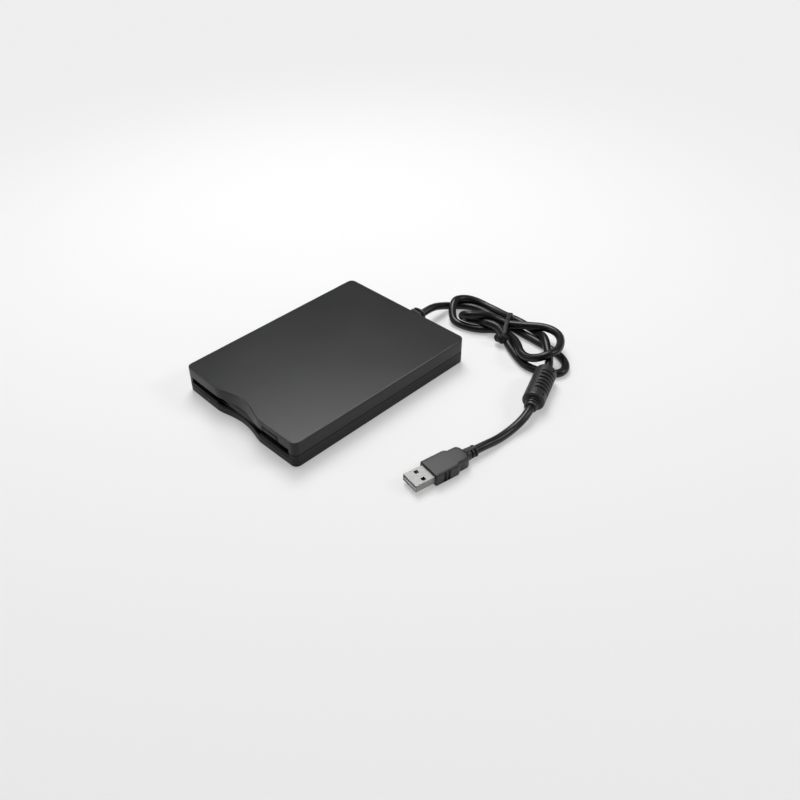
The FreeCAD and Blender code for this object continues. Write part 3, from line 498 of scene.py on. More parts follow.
# outer and inner are lists of (height, inset) from the rim to the flat. In outer, either may be a
# function of the station. The first heights are the same in both.
def caseHalf(name, outer, inner):
    stations = stationsRound()
    count = len(stations)
    points = []
    faces = []
    owner = {}

    def ringOf(levels, isInner):
        start = len(points)
        for z, inset in levels:
            for station in stations:
                here = [value(station) if callable(value) else value for value in (z, inset)]
                points.append(edgePoint(station, *here, isInner))
        return start

    def wallOf(levels, start, shared):
        for i in range(len(levels) - 1):
            here = start + i * count
            for j in range(count):
                k = (j + 1) % count
                if i < shared and isOpen(stations[j], stations[k], levels[i][0], levels[i + 1][0]):
                    continue
                faces.append((here + j, here + k, here + count + k, here + count + j))
        faces.append(tuple(range(start + (len(levels) - 1) * count, start + len(levels) * count)))

    shared = sum(1 for a, b in zip(outer, inner) if not callable(a[0]) and a[0] == b[0]) - 1
    first = ringOf(outer, False)
    wallOf(outer, first, shared)
    outerFaces = list(faces)
    second = ringOf(inner, True)
    wallOf(inner, second, shared)
    for face in outerFaces:
        for a, b in zip(face, face[1:] + face[:1]):
            key = (min(a, b), max(a, b))
            owner[key] = None if key in owner else (a, b)
    for edge in owner.values():
        if edge:
            a, b = edge
            faces.append((b, a, a - first + second, b - first + second))
    return meshOf(name, points, faces)


# A quarter round's steps: how far along its flat, and how far below its top
def quarter(radius, steps):
    turns = [math.pi / 2 * i / steps for i in range(steps + 1)]
    return [(radius * (1 - math.cos(turn)), radius * (1 - math.sin(turn))) for turn in turns]


def lidRound(station):
    side, at = station
    turned = at / (math.pi / 2)
    share = {"front": 0, "frontRight": turned, "frontLeft": 1 - turned}.get(side, 1)
    return case["frontRound"] + (case["sideRound"] - case["frontRound"]) * share


# The lid's rounding: each level's height and inset depend on the station
def roundedLevel(inward, below):
    return (lambda station: case["top"] - lidRound(station) * below,
            lambda station: lidRound(station) * inward)


def column(radius, x, y, low, high, sides):
    rings = [[(x + radius * math.cos(turn), y + radius * math.sin(turn), z)
              for turn in circle(sides)] for z in (low, high)]
    return lofted("column", rings)


bosses = {
    "front": [(side * 48.1, -61.5) for side in (-1, 1)],
    "rear": [(side * 44.0, 64.5) for side in (-1, 1)],
    "frontRadius": 1.9,
    "rearRadius": 3.2,
    "sunk": 0.3,  # into the floor or the ceiling
    "sides": 24,
    "well": 1.6,  # radius of a screw's well
    "wellDepth": 2.0,
    "wellSides": 32,
}
feet = {
    "places": [(side * 41.0, y) for y in (-52.0, 54.0) for side in (-1, 1)],
    "radius": 4.5,
    "height": 1.1,
    "seat": 0.6,  # depth of its recess, which is wider by the gap
    "gap": 0.1,
    "dome": 0.86,  # the radius at the table against that at the case
    "seatSides": 64,
}


def bossPosts(low, high):
    return [column(bosses[end + "Radius"], x, y, low, high, bosses["sides"])
            for end in ("front", "rear") for x, y in bosses[end]]


def makeLid():
    walls = [(case["seam"], 0)] + [(openings[k], 0) for k in ("slotTop", "cordHigh", "keyTop")]
    rounding = [roundedLevel(*share) for share in quarter(1, case["roundSteps"])]
    flat = [(lambda station: case["top"], lambda station: lidRound(station) + case["step"]),
            (lambda station: case["top"], lambda station: case["flat"])]
    inner = [(z, case["wall"]) for z, inset in walls] + [(case["ceiling"], case["wall"])]
    skin = caseHalf("lid", walls + rounding + flat, inner)
    whole = joined("lid", [skin] + bossPosts(case["seam"], case["ceiling"] + bosses["sunk"]))
    newPiece("lid", smooth(whole), "lid", ["top_shell"])


# The tray's edge under the slot: a bevelled strip with a fine groove below it
def underSlot(feature):
    def inset(station):
        under = station[0] == "front" and abs(station[1]) < openings["slotHalf"] + case["margin"]
        return case[feature] if under else 0
    return inset


def makeTray():
    seam, groove, base, r, step = (case[k] for k in ("seam", "groove", "base", "baseRound", "step"))
    o = openings
    lipBevel, lipGroove = underSlot("lipBevel"), underSlot("lipGroove")
    strip = o["lip"] - case["lipStrip"]
    low = strip - case["lipGroove"] - 2 * step
    outer = [(seam, groove), (seam - groove, groove), (seam - groove - step, 0),
             (o["lip"], lipBevel), (o["lip"] - case["lipBevel"], 0), (strip, 0),
             (strip - case["lipStep"], lipGroove), (o["cordLow"], lipGroove), (low, lipGroove),
             (low - step, 0), (o["lightHigh"], 0), (o["lightLow"], 0)]
    inner = [(z, case["wall"]) for z, inset in outer] + [(case["floor"], case["wall"])]
    outer += [(base + below, inward) for inward, below in quarter(r, case["baseSteps"])]
    outer += [(base, r + step), (base, case["flat"])]
    skin = caseHalf("tray", outer, inner)
    outside = base - 1
    radius = feet["radius"] + feet["gap"]
    seats = [column(radius, x, y, outside, base + feet["seat"], feet["seatSides"])
             for x, y in feet["places"]]
    wells = [column(bosses["well"], x, y, outside, base + bosses["wellDepth"], bosses["wellSides"])
             for x, y in bosses["front"] + bosses["rear"]]
    whole = joined("tray", [skin] + bossPosts(case["floor"] - bosses["sunk"], seam))
    whole = carved(whole, [joined("cutters", seats + wells)])
    newPiece("tray", smooth(whole), "tray", ["bottom_shell"])


makeLid()
makeTray()
print("case made")

dressed("slotFrame", "front_frame", "trim", 0.12)
dressed("slotFlap", "slot_flap", "tray", 0.18, "slot_flap")
dressed("ejectKey", "eject_button", "tray", 0.03, "eject_slide", 50)
dressed("lightWindow", "led_window", "window", 0.15)


# A superellipse: round at 2, and nearer a rectangle as the power grows
def squareRing(halfWide, halfTall, power, count=72):
    ring = []
    for turn in circle(count):
        c, s = math.cos(turn), math.sin(turn)
        ring.append((math.copysign(abs(c) ** (2 / power), c) * halfWide,
                     math.copysign(abs(s) ** (2 / power), s) * halfTall, turn))
    return ring


def between(stops, at):
    if at <= stops[0][0]:
        return stops[0][1:]
    for low, high in zip(stops, stops[1:]):
        if at <= high[0]:
            share = (at - low[0]) / max(high[0] - low[0], 1e-9)
            return tuple(a + share * (b - a) for a, b in zip(low[1:], high[1:]))
    return stops[-1][1:]


# 1 inside a groove of this width and 0 outside it, with short slopes
def groove(at, middle, width, slope=0.22):
    return clamp((width / 2 + slope - abs(at - middle)) / slope)


# The bush that the cord leaves through: a collar inside the wall, a slotted bar, a short nose
gland = {
    "centre": (4.5, 9.2),
    "stops": [  # along the cord, half width, half height, power
        (66.2, 4.5, 3.8, 6), (69.05, 4.5, 3.8, 6), (69.1, 3.3, 3.2, 6), (71.1, 3.3, 3.2, 6),
        (71.15, 4.7, 4.6, 5), (71.6, 5.2, 5.1, 5), (80.2, 5.1, 5.0, 4.5), (81.1, 4.7, 4.7, 3),
        (81.8, 3.9, 3.9, 2.3), (82.1, 3.3, 3.3, 2), (82.2, 3.1, 3.1, 2),
    ],
    "rings": [71.6 + i * 0.14 for i in range(62)],  # close together along the slotted bar
    "slots": (75.3, 78.6),
    "slotWidth": 1.25,
    "slotDepth": 1.5,
    "slotTurn": 0.35,  # radians from the top to the middle of the slots' dull side
    "slotReach": (2.6, 0.5),  # how far round they go, and over how much they fade
    "slant": 0.6,
}


def makeGland():
    x0, z0 = gland["centre"]
    rings = []
    for y in sorted({stop[0] for stop in gland["stops"]} | set(gland["rings"])):
        wide, tall, power = between(gland["stops"], y)
        ring = []
        for dx, dz, turn in squareRing(wide, tall, power):
            kept = groove(math.sin(turn - gland["slotTurn"]), 1.0, *gland["slotReach"])
            cut = kept * max(groove(y, slot - gland["slant"] * math.cos(turn), gland["slotWidth"])
                             for slot in gland["slots"])
            scale = 1 - cut * gland["slotDepth"] / max(math.hypot(dx, dz), 1)
            ring.append((x0 + dx * scale, y, z0 + dz * scale))
        rings.append(ring)
    newPiece("gland", smooth(lofted("gland", rings), 40), "grip", ["strain_relief"])


makeGland()


def levelWay(degrees):
    return Vector((math.cos(math.radians(degrees)), math.sin(math.radians(degrees)), 0))


# Points of a piece drawn along a level line: s along it, a to the left and b up
def placed(start, degrees, rings):
    way, left, upward = levelWay(degrees), levelWay(degrees + 90), Vector((0, 0, 1))
    base = Vector(start)
    return [[base + way * s + left * a + upward * b for s, a, b in ring] for ring in rings]


# The sleeve over the ferrite core: a drum with finger grooves on one side and a slotted neck
ferrite = {
    "start": (101.2, 90.4, 6.8),
    "turn": -67.8,
    "radius": 6.7,
    "length": 31.5,
    "round": 1.5,
    "roundSteps": 6,
    "sides": 120,
    "step": 0.2,  # from ring to ring
    "neck": [(31.5, 4.3), (32.7, 4.3), (32.8, 3.3), (33.5, 3.3), (33.6, 4.1), (34.6, 4.05),
             (34.7, 3.25), (35.3, 3.25), (35.4, 3.95), (36.6, 3.85), (37.1, 3.5), (37.3, 3.2)],
    "bore": 2.75,
    "grooves": [7.0 + 3.35 * i for i in range(6)],
    "grooveWidth": 0.95,
    "grooveDepth": 0.95,
    "grooveSlope": 0.3,
    "face": 42,  # which way the grooves look, degrees up from the left
    "reach": 62,  # how far round they go each way
    "fade": 6,
    "plain": 0.5,  # no grooves further than this below the drum
    "dimples": (3.9, 27.9),
    "dimple": (1.0, 1.6),  # radius and depth
}


def makeFerriteSleeve():
    f = ferrite
    nose = quarter(f["round"], f["roundSteps"])
    steps = int((f["length"] - 2 * f["round"]) / f["step"])
    drops = nose + [(f["round"] + f["step"] * i, 0) for i in range(1, steps + 1)]
    drops += [(f["length"] - s, drop) for s, drop in reversed(nose)]
    outline = [(s, f["radius"] - drop) for s, drop in drops]
    rings = []
    for s, radius in [(0.0, f["bore"])] + outline + f["neck"] + [(f["neck"][-1][0], f["bore"])]:
        ring = []
        for i in range(f["sides"]):
            turn = 360 * i / f["sides"]
            away = abs((turn - f["face"] + 180) % 360 - 180)
            cut = 0.0
            if radius > f["radius"] - f["plain"]:
                cut = max(groove(s, middle, f["grooveWidth"], f["grooveSlope"])
                          for middle in f["grooves"])
                cut *= clamp((f["reach"] - away) / f["fade"]) * f["grooveDepth"]
                for middle in f["dimples"]:
                    spot = math.hypot(s - middle, math.radians(away) * radius) / f["dimple"][0]
                    cut = max(cut, f["dimple"][1] * max(0.0, 1 - spot * spot))
            a = math.radians(turn)
            ring.append((s, (radius - cut) * math.cos(a), (radius - cut) * math.sin(a)))
        rings.append(ring)
    mesh = lofted("ferriteSleeve", placed(f["start"], f["turn"], rings), endless=True)
    newPiece("ferriteSleeve", smooth(mesh, 40), "grip", ["ferrite_cover"])


makeFerriteSleeve()


# The plug's moulding: a slotted boot, a waist and a grip
plug = {
    "start": (114.3, 8.0, 4.2),
    "turn": -100.0,
    "stops": [  # along the plug, half width, half height, power
        (0.0, 3.1, 3.1, 2), (0.15, 3.3, 3.3, 2), (0.5, 3.55, 3.5, 2), (1.1, 3.55, 3.5, 2),
        (1.4, 3.3, 3.3, 2), (6.0, 3.6, 3.6, 2), (7.0, 3.55, 3.6, 2), (7.8, 3.95, 3.75, 2.6),
        (8.2, 4.8, 3.85, 4), (8.9, 5.6, 3.92, 6), (9.8, 6.0, 3.95, 8), (14.2, 6.05, 3.98, 9),
        (14.9, 5.95, 3.98, 9), (15.5, 6.1, 3.98, 9), (16.1, 6.7, 3.98, 9), (16.9, 7.25, 4.0, 9),
        (17.9, 7.5, 4.0, 9), (32.0, 7.5, 4.0, 9), (32.3, 7.42, 3.92, 9), (32.5, 7.2, 3.7, 9),
    ],
    # Rings close together along the slots and the recesses
    "rings": [0.1 * i for i in range(5, 60)] + [18 + 0.25 * i for i in range(57)],
    "sides": 96,
    "slots": (1.95, 4.2),
    "slotSize": (1.0, 0.2),  # width and slope
    "slotDepth": 0.9,
    "slotFrom": 0.35,  # how far out the slots begin, and are full
    "slotFull": 0.5,
    "holds": (24.0, 26.7),  # the two finger recesses on each side
    "holdSize": (1.5, 0.3),
    "holdDepth": 1.0,
    "holdShare": 0.8,
}


def makePlugBody():
    rings = []
    for s in sorted({stop[0] for stop in plug["stops"]} | set(plug["rings"])):
        wide, tall, power = between(plug["stops"], s)
        ring = []
        for a, b, turn in squareRing(wide, tall, power, plug["sides"]):
            side = (abs(math.cos(turn)) - plug["slotFrom"]) / (plug["slotFull"] - plug["slotFrom"])
            cut = max(groove(s, middle, *plug["slotSize"]) for middle in plug["slots"])
            cut *= clamp(side) * plug["slotDepth"]
            scale = 1 - cut / max(math.hypot(a, b), 1)
            a, b = a * scale, b * scale
            hold = max(groove(s, middle, *plug["holdSize"]) for middle in plug["holds"])
            share = plug["holdShare"]
            if hold and abs(b) < tall * share and abs(a) > wide * share:
                a -= math.copysign(hold * plug["holdDepth"], a)
            ring.append((s, a, b))
        rings.append(ring)
    mesh = lofted("plugBody", placed(plug["start"], plug["turn"], rings))
    newPiece("plugBody", smooth(mesh, 40), "grip", ["plug_body"])


makePlugBody()

# The plug's sheet metal shell: a square tube with rounded corners, two windows in each broad side
plugShell = {
    "from": 32.4, "to": 45.0, "half": (6.0, 2.25), "sheet": 0.3,
    "corner": 0.55, "cornerSteps": 7, "lead": 0.12,
    "windows": [(side * 3.2, 38.3) for side in (-1, 1)], "windowHalf": 1.2,
}


def roundedRing(s, wide, tall, radius):
    steps = plugShell["cornerSteps"]
    ring = []
    for index, (signA, signB) in enumerate(((1, 1), (-1, 1), (-1, -1), (1, -1))):
        for i in range(steps + 1):
            turn = math.pi / 2 * (index + i / steps)
            ring.append((s, signA * (wide - radius) + radius * math.cos(turn),
                         signB * (tall - radius) + radius * math.sin(turn)))
    return ring


def makePlugShell():
    p = plugShell
    (wide, tall), sheet, corner = p["half"], p["sheet"], p["corner"]
    inner = (wide - sheet, tall - sheet, corner - sheet)
    lead = p["lead"]
    rings = [roundedRing(p["from"], wide, tall, corner),
             roundedRing(p["to"] - lead, wide, tall, corner),
             roundedRing(p["to"], wide - lead, tall - lead, corner - lead),
             roundedRing(p["to"], *inner), roundedRing(p["from"], *inner)]
    tube = lofted("plugShell", placed(plug["start"], plug["turn"], rings), endless=True)
    cutters = []
    h = p["windowHalf"]
    across = ((-h, -5), (h, -5), (h, 5), (-h, 5))
    for a, s in p["windows"]:
        box = [[(s + x, a + y, b) for y, b in across] for x in (-h, h)]
        cutters.append(lofted("window", placed(plug["start"], plug["turn"], box)))
    mesh = carved(tube, [joined("windows", cutters)])
    mesh.shade_flat()
    newPiece("plugShell", mesh, "nickel", ["plug_shell"])


makePlugShell()
dressed("plugTongue", "plug_insulator", "tongue", 0.1)
dressed("plugContacts", "plug_contacts", "gold", 0.03)
print("cord fittings made")


# The cord: out of the gland, one loose coil under a tie, through the ferrite sleeve, to the plug
cord = {
    "diameter": 0.0052,
    "length": 0.678,
    "route": [
        (4.5, 82.2, 9.2), (4.5, 88.7, 9.7), (4.6, 95.7, 8.9), (4.9, 102.7, 6.4), (6.0, 109.4, 3.8),
        (9.4, 115.4, 2.75), (15.0, 119.6, 2.65), (22.0, 121.6, 2.65), (30.0, 121.6, 2.65),
        (38.0, 120.4, 2.65), (45.0, 119.5, 2.65), (51.8, 119.1, 2.65), (58.8, 118.7, 2.65),
        (66.4, 118.1, 2.65), (74.6, 117.5, 2.65), (83.2, 116.9, 2.65), (91.6, 115.6, 2.65),
        (98.4, 112.8, 2.65), (103.4, 108.4, 2.65), (105.4, 103.2, 2.65), (104.4, 98.6, 2.65),
        (100.6, 95.6, 2.65), (95.5, 93.4, 2.65), (90.0, 91.8, 2.65), (84.0, 91.8, 2.65),
        (77.5, 94.2, 2.65), (71.0, 97.4, 2.65), (65.4, 100.6, 2.65), (60.6, 103.4, 3.2),
        (56.4, 105.2, 5.4), (52.4, 106.8, 7.2), (48.4, 107.2, 8.1), (44.4, 106.7, 8.0),
        (40.2, 106.0, 7.6), (35.4, 106.7, 5.7), (30.5, 107.2, 3.9), (25.6, 106.4, 3.4),
        (23.6, 104.0, 4.8), (24.0, 101.2, 7.6), (26.2, 100.0, 10.4), (29.8, 100.8, 11.6),
        (33.2, 103.6, 11.3), (36.2, 107.6, 11.1), (39.4, 110.9, 10.0), (43.2, 112.5, 8.9),
        (47.5, 113.7, 8.1), (53.0, 115.2, 7.6), (59.0, 118.0, 8.2), (65.0, 121.2, 8.9),
        (71.5, 124.4, 9.8), (78.0, 126.0, 10.0), (84.2, 124.8, 10.3), (89.8, 120.3, 10.8),
        (94.2, 113.6, 11.4), (96.8, 106.2, 12.3), (95.6, 98.9, 12.7), (91.0, 93.6, 10.2),
        (83.6, 92.5, 8.0), (76.7, 95.5, 7.7), (70.9, 101.6, 6.5), (63.6, 107.4, 4.3),
        (57.0, 111.0, 2.65), (50.8, 112.0, 2.65), (44.6, 109.0, 2.65), (39.6, 103.5, 2.65),
        (32.8, 99.9, 2.65), (25.6, 98.2, 2.65), (20.2, 98.2, 3.1), (16.6, 100.4, 4.6),
        (12.9, 104.0, 7.0), (10.4, 108.6, 8.7), (8.8, 112.5, 8.6), (9.3, 116.8, 7.7),
        (11.6, 121.0, 6.9), (15.8, 124.4, 5.6), (21.0, 126.3, 4.2), (27.0, 127.1, 3.4),
        (33.5, 127.1, 3.4), (40.5, 126.2, 3.9), (47.0, 125.3, 4.9), (54.0, 124.8, 5.5),
        (60.2, 125.0, 4.8), (65.8, 125.0, 3.9), (71.4, 123.0, 4.4), (76.8, 119.5, 7.7),
        (82.0, 115.4, 8.3), (86.8, 110.8, 7.2), (91.8, 105.6, 5.8), (97.6, 98.2, 8.1),
        (101.2, 90.4, 6.8), (107.81, 74.2, 6.8), (114.43, 58.0, 6.8), (116.51, 52.9, 6.8),
        (117.5, 46.0, 5.2), (117.2, 39.0, 3.4), (116.9, 31.5, 2.75), (116.5, 23.5, 3.0),
        (115.6, 15.39, 4.2), (114.3, 8.0, 4.2), (113.43, 3.08, 4.2),
    ],
}


def cordCurve(thickness):
    line = bpy.data.curves.new("cord", "CURVE")
    line.dimensions = "3D"
    line.bevel_depth = thickness
    line.bevel_resolution = 8
    line.resolution_u = 10
    line.use_fill_caps = thickness > 0
    run = line.splines.new("NURBS")
    run.points.add(len(cord["route"]) - 1)
    for point, place in zip(run.points, cord["route"]):
        point.co = (*(Vector(place) * mm), 1)
    run.order_u = 3
    run.use_endpoint_u = True
    return line


cordLine = cordCurve(cord["diameter"] / 2)
cordLine.materials.append(materials["cord"])
cordPiece = linked("cord", cordLine)
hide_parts("cord_lead", "cord_hank", "cord_link", "cord_tail")
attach(cordPiece, "case")
print("cord laid")


# The tie: a strap drawn tight round the strands where they cross its plane
tie = {
    "centre": Vector((51.5, 115.0, 0)),
    "turn": 28.4,
    "reach": 16,
    "width": 2.8,
    "thickness": 0.45,
    "ease": 0.08,  # between the cord and the strap
    "sides": 40,
    "inside": 0.04,  # the least height of its two faces
    "outside": 0.03,
    # The strap's section: across from -1 to 1, and how thick against the thickness
    "section": ((-1, 0), (-1, 0.7), (-0.85, 1), (-0.3, 1.12),
                (0.3, 1.12), (0.85, 1), (1, 0.7), (1, 0)),
}
tieWay, tieAcross = levelWay(tie["turn"]), levelWay(tie["turn"] + 90)


# Where the cord's middle line crosses the tie's plane: (across, up)
def tieCrossings():
    probe = linked("probe", cordCurve(0))
    graph = bpy.context.evaluated_depsgraph_get()
    line = bpy.data.meshes.new_from_object(probe.evaluated_get(graph))
    points = [v.co / mm for v in line.vertices]
    bpy.data.objects.remove(probe)
    found = []
    for a, b in zip(points, points[1:]):
        before, after = ((p - tie["centre"]).dot(tieWay) for p in (a, b))
        if before * after < 0:
            hit = a.lerp(b, before / (before - after))
            off = (hit - tie["centre"]).dot(tieAcross)
            if abs(off) < tie["reach"]:
                found.append((off, hit.z))
    return found


def hullOf(points):
    points = sorted(set(points))

    def half(run):
        kept = []
        for p in run:
            while len(kept) > 1 and ((kept[-1][0] - kept[-2][0]) * (p[1] - kept[-2][1])
                                     - (kept[-1][1] - kept[-2][1]) * (p[0] - kept[-2][0])) <= 0:
                kept.pop()
            kept.append(p)
        return kept[:-1]
    return half(points) + half(reversed(points))


def makeTie():
    radius = cord["diameter"] / mm / 2 + tie["ease"]
    rim = [(x + radius * math.cos(turn), max(z + radius * math.sin(turn), tie["inside"]))
           for x, z in tieCrossings() for turn in circle(tie["sides"])]
    loop = hullOf([(round(x, 4), round(z, 4)) for x, z in rim])
    rings = []
    for i, (x, z) in enumerate(loop):
        (x0, z0), (x1, z1) = loop[i - 1], loop[(i + 1) % len(loop)]
        out = Vector((z1 - z0, x0 - x1)).normalized()
        ring = []
        for w, t in tie["section"]:
            thick = t * tie["thickness"]
            place = tie["centre"] + tieWay * (w * tie["width"] / 2)
            place += tieAcross * (x + out.x * thick)
            ring.append((place.x, place.y, max(z + out.y * thick, tie["outside"])))
        rings.append(ring)
    return lofted("strap", rings, endless=True), min(loop)


# The strap's two ends, twisted into a short thick bar beside the strands
knot = {
    "length": 9.6, "radius": 3.8, "shift": -1.0, "off": 0.3, "up": 5.2,
    "twist": 420,  # degrees from end to end
    "waist": 0.74,  # its least radius against its greatest
    "blunt": 0.45,  # nearer 0 for blunter ends
    "tip": 0.05,
    "steps": 40,
}


def makeKnot(near):
    middle = tie["centre"] + tieAcross * (near[0] - knot["off"]) + Vector((0, 0, knot["up"]))
    rings = []
    for i in range(knot["steps"] + 1):
        share = (1 - math.cos(math.pi * i / knot["steps"])) / 2
        radius = knot["radius"] * max(knot["tip"], math.sin(math.pi * share)) ** knot["blunt"]
        at = middle + tieWay * ((share - 0.5) * knot["length"] + knot["shift"])
        ring = []
        for turn in circle(knot["steps"]):
            ridge = abs(math.cos(turn - math.radians(knot["twist"]) * share))
            out = radius * (knot["waist"] + (1 - knot["waist"]) * ridge)
            up = Vector((0, 0, out * math.sin(turn)))
            ring.append(at + tieAcross * (out * math.cos(turn)) + up)
        rings.append(ring)
    return lofted("knot", rings)


strap, nearEnd = makeTie()
newPiece("tie", smooth(joined("tie", [strap, makeKnot(nearEnd)]), 50), "strap", ["twist_tie"])
print("tie made")


# The part at each place, turned by the tree's Rotation
def setOut(tree, given, part, result):
    turned = add(tree, "FunctionNodeEulerToRotation")
    feed(tree, given["Rotation"], turned.inputs[0])
    spread = add(tree, "GeometryNodeInstanceOnPoints", Points=given["Places"],
                 Instance=part, Rotation=turned)
    feed(tree, spread, result)


# Rubber feet: one domed disc at each place
def footTree():
    tree, given, result = newTree("feet", ("Radius", "Height"))
    edge = calc(tree, "MULTIPLY", given["Radius"], feet["dome"])
    disc = add(tree, "GeometryNodeMeshCone", Vertices=48, Side_Segments=3,
               Radius_Top=given["Radius"], Radius_Bottom=edge, Depth=given["Height"])
    spread = add(tree, "GeometryNodeInstanceOnPoints", Points=given["Places"], Instance=disc)
    feed(tree, spread, result)
    return tree


# Shares of a screw's own sizes
screw = {
    "crown": 0.72, "armLength": 1.25, "armWidth": 0.26, "armDepth": 1.1, "middle": -0.5,
    "ridge": 1.22, "ridgeHeight": 0.06, "threadFrom": -0.95, "threadLength": 0.85,
}


# Screws: a pan head with a crossed recess, and a shank with turns of thread
def screwTree():
    lengths = ("Head Radius", "Head Height", "Shank Radius", "Length")
    tree, given, result = newTree("screws", lengths, "Int")

    def times(label, share):
        return calc(tree, "MULTIPLY", given[label], screw[share])

    def at(z):
        return add(tree, "ShaderNodeCombineXYZ", Z=z)

    def moved(part, z):
        return add(tree, "GeometryNodeTransform", Geometry=part, Translation=at(z))

    head = add(tree, "GeometryNodeMeshCone", Vertices=32, Radius_Top=times("Head Radius", "crown"),
               Radius_Bottom=given["Head Radius"], Depth=given["Head Height"])
    arm, blade = times("Head Radius", "armLength"), times("Head Radius", "armWidth")
    deep = times("Head Height", "armDepth")
    recessed = add(tree, "GeometryNodeMeshBoolean", {"operation": "DIFFERENCE"})
    feed(tree, head, recessed.inputs[0])
    for wide, long in ((arm, blade), (blade, arm)):
        size = add(tree, "ShaderNodeCombineXYZ", X=wide, Y=long, Z=deep)
        bar = moved(add(tree, "GeometryNodeMeshCube", Size=size), given["Head Height"])
        feed(tree, bar, recessed.inputs[1])
    shank = add(tree, "GeometryNodeMeshCylinder", Vertices=20, Radius=given["Shank Radius"],
                Depth=given["Length"])
    stem = moved(shank, times("Length", "middle"))
    ridge = add(tree, "GeometryNodeMeshCone", Vertices=20, Radius_Top=given["Shank Radius"],
                Radius_Bottom=times("Shank Radius", "ridge"), Depth=times("Length", "ridgeHeight"))
    pitch = calc(tree, "DIVIDE", times("Length", "threadLength"), given["Turns"])
    line = add(tree, "GeometryNodeMeshLine", Count=given["Turns"],
               Start_Location=at(times("Length", "threadFrom")), Offset=at(pitch))
    thread = add(tree, "GeometryNodeInstanceOnPoints", Points=line, Instance=ridge)
    whole = add(tree, "GeometryNodeJoinGeometry")
    for part in (recessed, stem, thread):
        feed(tree, part, whole.inputs[0])
    setOut(tree, given, whole, result)
    return tree


# Coiled wire: a helix swept by a round profile
def coilTree():
    tree, given, result = newTree("coils", ("Radius", "Wire", "Length"), "Float")
    helix = add(tree, "GeometryNodeCurveSpiral", Resolution=24, Rotations=given["Turns"],
                Start_Radius=given["Radius"], End_Radius=given["Radius"], Height=given["Length"])
    wire = add(tree, "GeometryNodeCurvePrimitiveCircle", Resolution=10, Radius=given["Wire"])
    swept = add(tree, "GeometryNodeCurveToMesh", Curve=helix, Profile_Curve=wire, Fill_Caps=True)
    setOut(tree, given, swept, result)
    return tree


trees = {"feet": footTree(), "screws": screwTree(), "coils": coilTree()}


# The small pieces: lengths in millimetres, angles in degrees
def makeMany(name, tree, material, cadNode, places, lengths, turns=None, tilt=None):
    values = {label: length * mm for label, length in lengths.items()}
    if turns is not None:
        values["Turns"] = turns
        values["Rotation"] = tuple(math.radians(angle) for angle in tilt)
    newPiece(name, smooth(grown(trees[tree], places, values, material)), material, [cadNode])


makeMany("rubberFeet", "feet", "rubber", "rubber_feet", [(x, y, 0) for x, y in feet["places"]],
         {"Radius": feet["radius"], "Height": feet["height"]})
makeMany("caseScrews", "screws", "steel", "case_screws",
         [(x, y, case["base"] + bosses["wellDepth"]) for x, y in bosses["front"] + bosses["rear"]],
         {"Head Radius": 1.45, "Head Height": 1.3, "Shank Radius": 0.78, "Length": 10.8},
         14, (180, 0, 0))
makeMany("chassisScrews", "screws", "steel", "chassis_screws",
         [(side * 44.0, y, 3.62) for y in (-44.0, 46.0) for side in (-1, 1)],
         {"Head Radius": 1.7, "Head Height": 0.65, "Shank Radius": 0.6, "Length": 2.2},
         4, (0, 0, 0))
makeMany("slideSprings", "coils", "spring", "slide_springs",
         [(side * 40.0, 26.3, 13.7) for side in (-1, 1)],
         {"Radius": 1.25, "Wire": 0.24, "Length": 9.4}, 17.0, (-90, 0, 0))
makeMany("flapSpring", "coils", "spring", "flap_spring", [(18.4, -65.1, 14.2)],
         {"Radius": 1.08, "Wire": 0.16, "Length": 1.8}, 5.0, (0, 90, 0))
newPiece("statorPoles", bevelled(solidOf("spindle_stator"), 0.12), "copper", ["spindle_stator"])
print("screws, springs and feet made")


# Stage: a pale floor, lit by soft boxes and an even room
stage = {
    "pale": 0.86,
    "seen": 0.42,  # how much of the floor glows near the object
    "nearFloor": 0.18,
    "farFloor": 0.70,
    "floorSize": 4.0,
    "world": 0.11,  # the room as a light, then where it is seen and as a mirror image
    "backdrop": 0.86,
    "mirrored": 0.13,
    "lamps": {  # place, side of the square, watts
        "overhead": ((-0.42, 0.20, 2.20), 1.0, 20.5),
        "sheen": ((-0.36, 0.30, 0.76), 0.4, 4.8),
        "edge": ((1.16, 0.98, 1.04), 0.4, 6.8),
        "front": ((-1.0, -1.0, 0.84), 0.5, 2),
    },
}


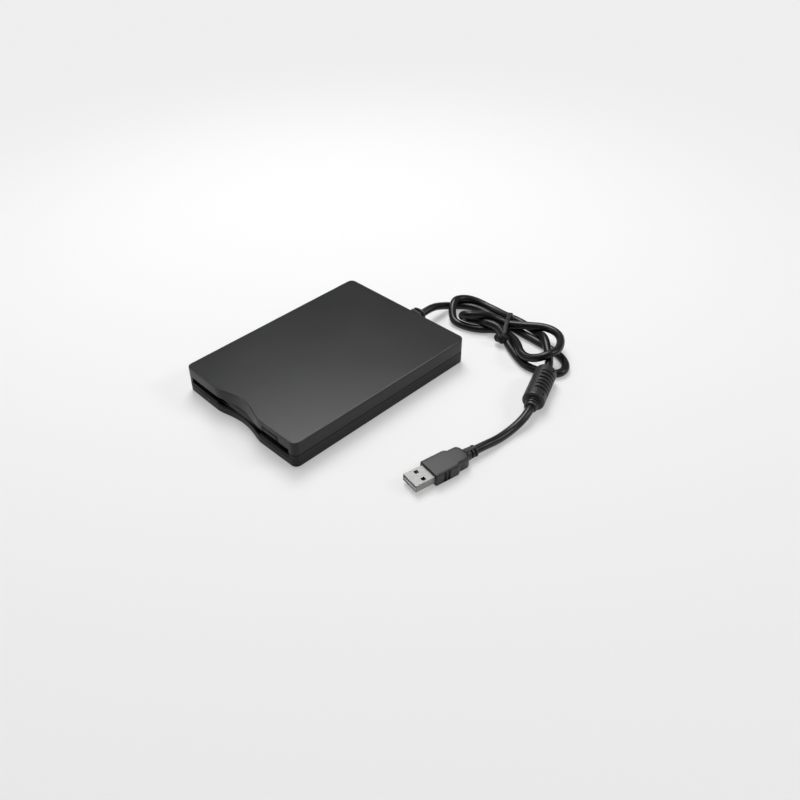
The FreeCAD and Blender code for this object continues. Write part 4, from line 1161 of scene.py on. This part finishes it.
# A square lamp that looks at the origin
def softBox(name, place, side, power):
    lamp = bpy.data.lights.new(name, "AREA")
    lamp.shape = "RECTANGLE"
    lamp.size = lamp.size_y = side
    lamp.energy = power
    holder = linked(name, lamp)
    holder.location = place
    holder.rotation_euler = (-Vector(place)).to_track_quat("-Z", "Y").to_euler()


# The floor keeps the object's shadow. Away from it the floor is as even as the room behind it.
def makeFloor():
    half = stage["floorSize"] / 2
    mesh = bpy.data.meshes.new("floor")
    corners = [(-half, -half, 0), (half, -half, 0), (half, half, 0), (-half, half, 0)]
    mesh.from_pydata(corners, [], [(0, 1, 2, 3)])
    holder = linked("floor", mesh)
    paint, tree = emptyMaterial("floor")
    path = add(tree, "ShaderNodeLightPath").outputs
    coords = add(tree, "ShaderNodeTexCoord")
    distance = add(tree, "ShaderNodeVectorMath", {"operation": "LENGTH"},
                   Vector=coords.outputs["Object"])
    even = add(tree, "ShaderNodeMapRange", {"interpolation_type": "SMOOTHSTEP"},
               Value=distance.outputs["Value"], From_Min=stage["nearFloor"],
               From_Max=stage["farFloor"], To_Min=stage["seen"], To_Max=1)
    shown = calc(tree, "MAXIMUM", path["Is Camera Ray"], path["Is Glossy Ray"])
    mix = add(tree, "ShaderNodeMixShader", Fac=calc(tree, "MULTIPLY", shown, even))
    for slot, kind in ((1, "ShaderNodeBsdfDiffuse"), (2, "ShaderNodeEmission")):
        feed(tree, add(tree, kind, Color=rgba(stage["pale"])), mix.inputs[slot])
    add(tree, "ShaderNodeOutputMaterial", Surface=mix)
    mesh.materials.append(paint)


# An even room: pale where it is seen, dimmer as a mirror image, dimmer still as a light
def makeRoom():
    world = bpy.data.worlds.new("room")
    scene.world = world
    world.use_nodes = True
    tree = world.node_tree
    path = add(tree, "ShaderNodeLightPath").outputs
    level = stage["world"]
    for ray, strength in (("Is Camera Ray", "backdrop"), ("Is Transmission Ray", "backdrop"),
                          ("Is Glossy Ray", "mirrored")):
        level = calc(tree, "MULTIPLY_ADD", path[ray], stage[strength] - stage["world"], level)
    sky = tree.nodes["Background"]
    feed(tree, rgba(1), sky.inputs[0])
    feed(tree, level, sky.inputs[1])


makeFloor()
makeRoom()
for name, (place, side, power) in stage["lamps"].items():
    softBox(name, place, side, power)
print("stage set")
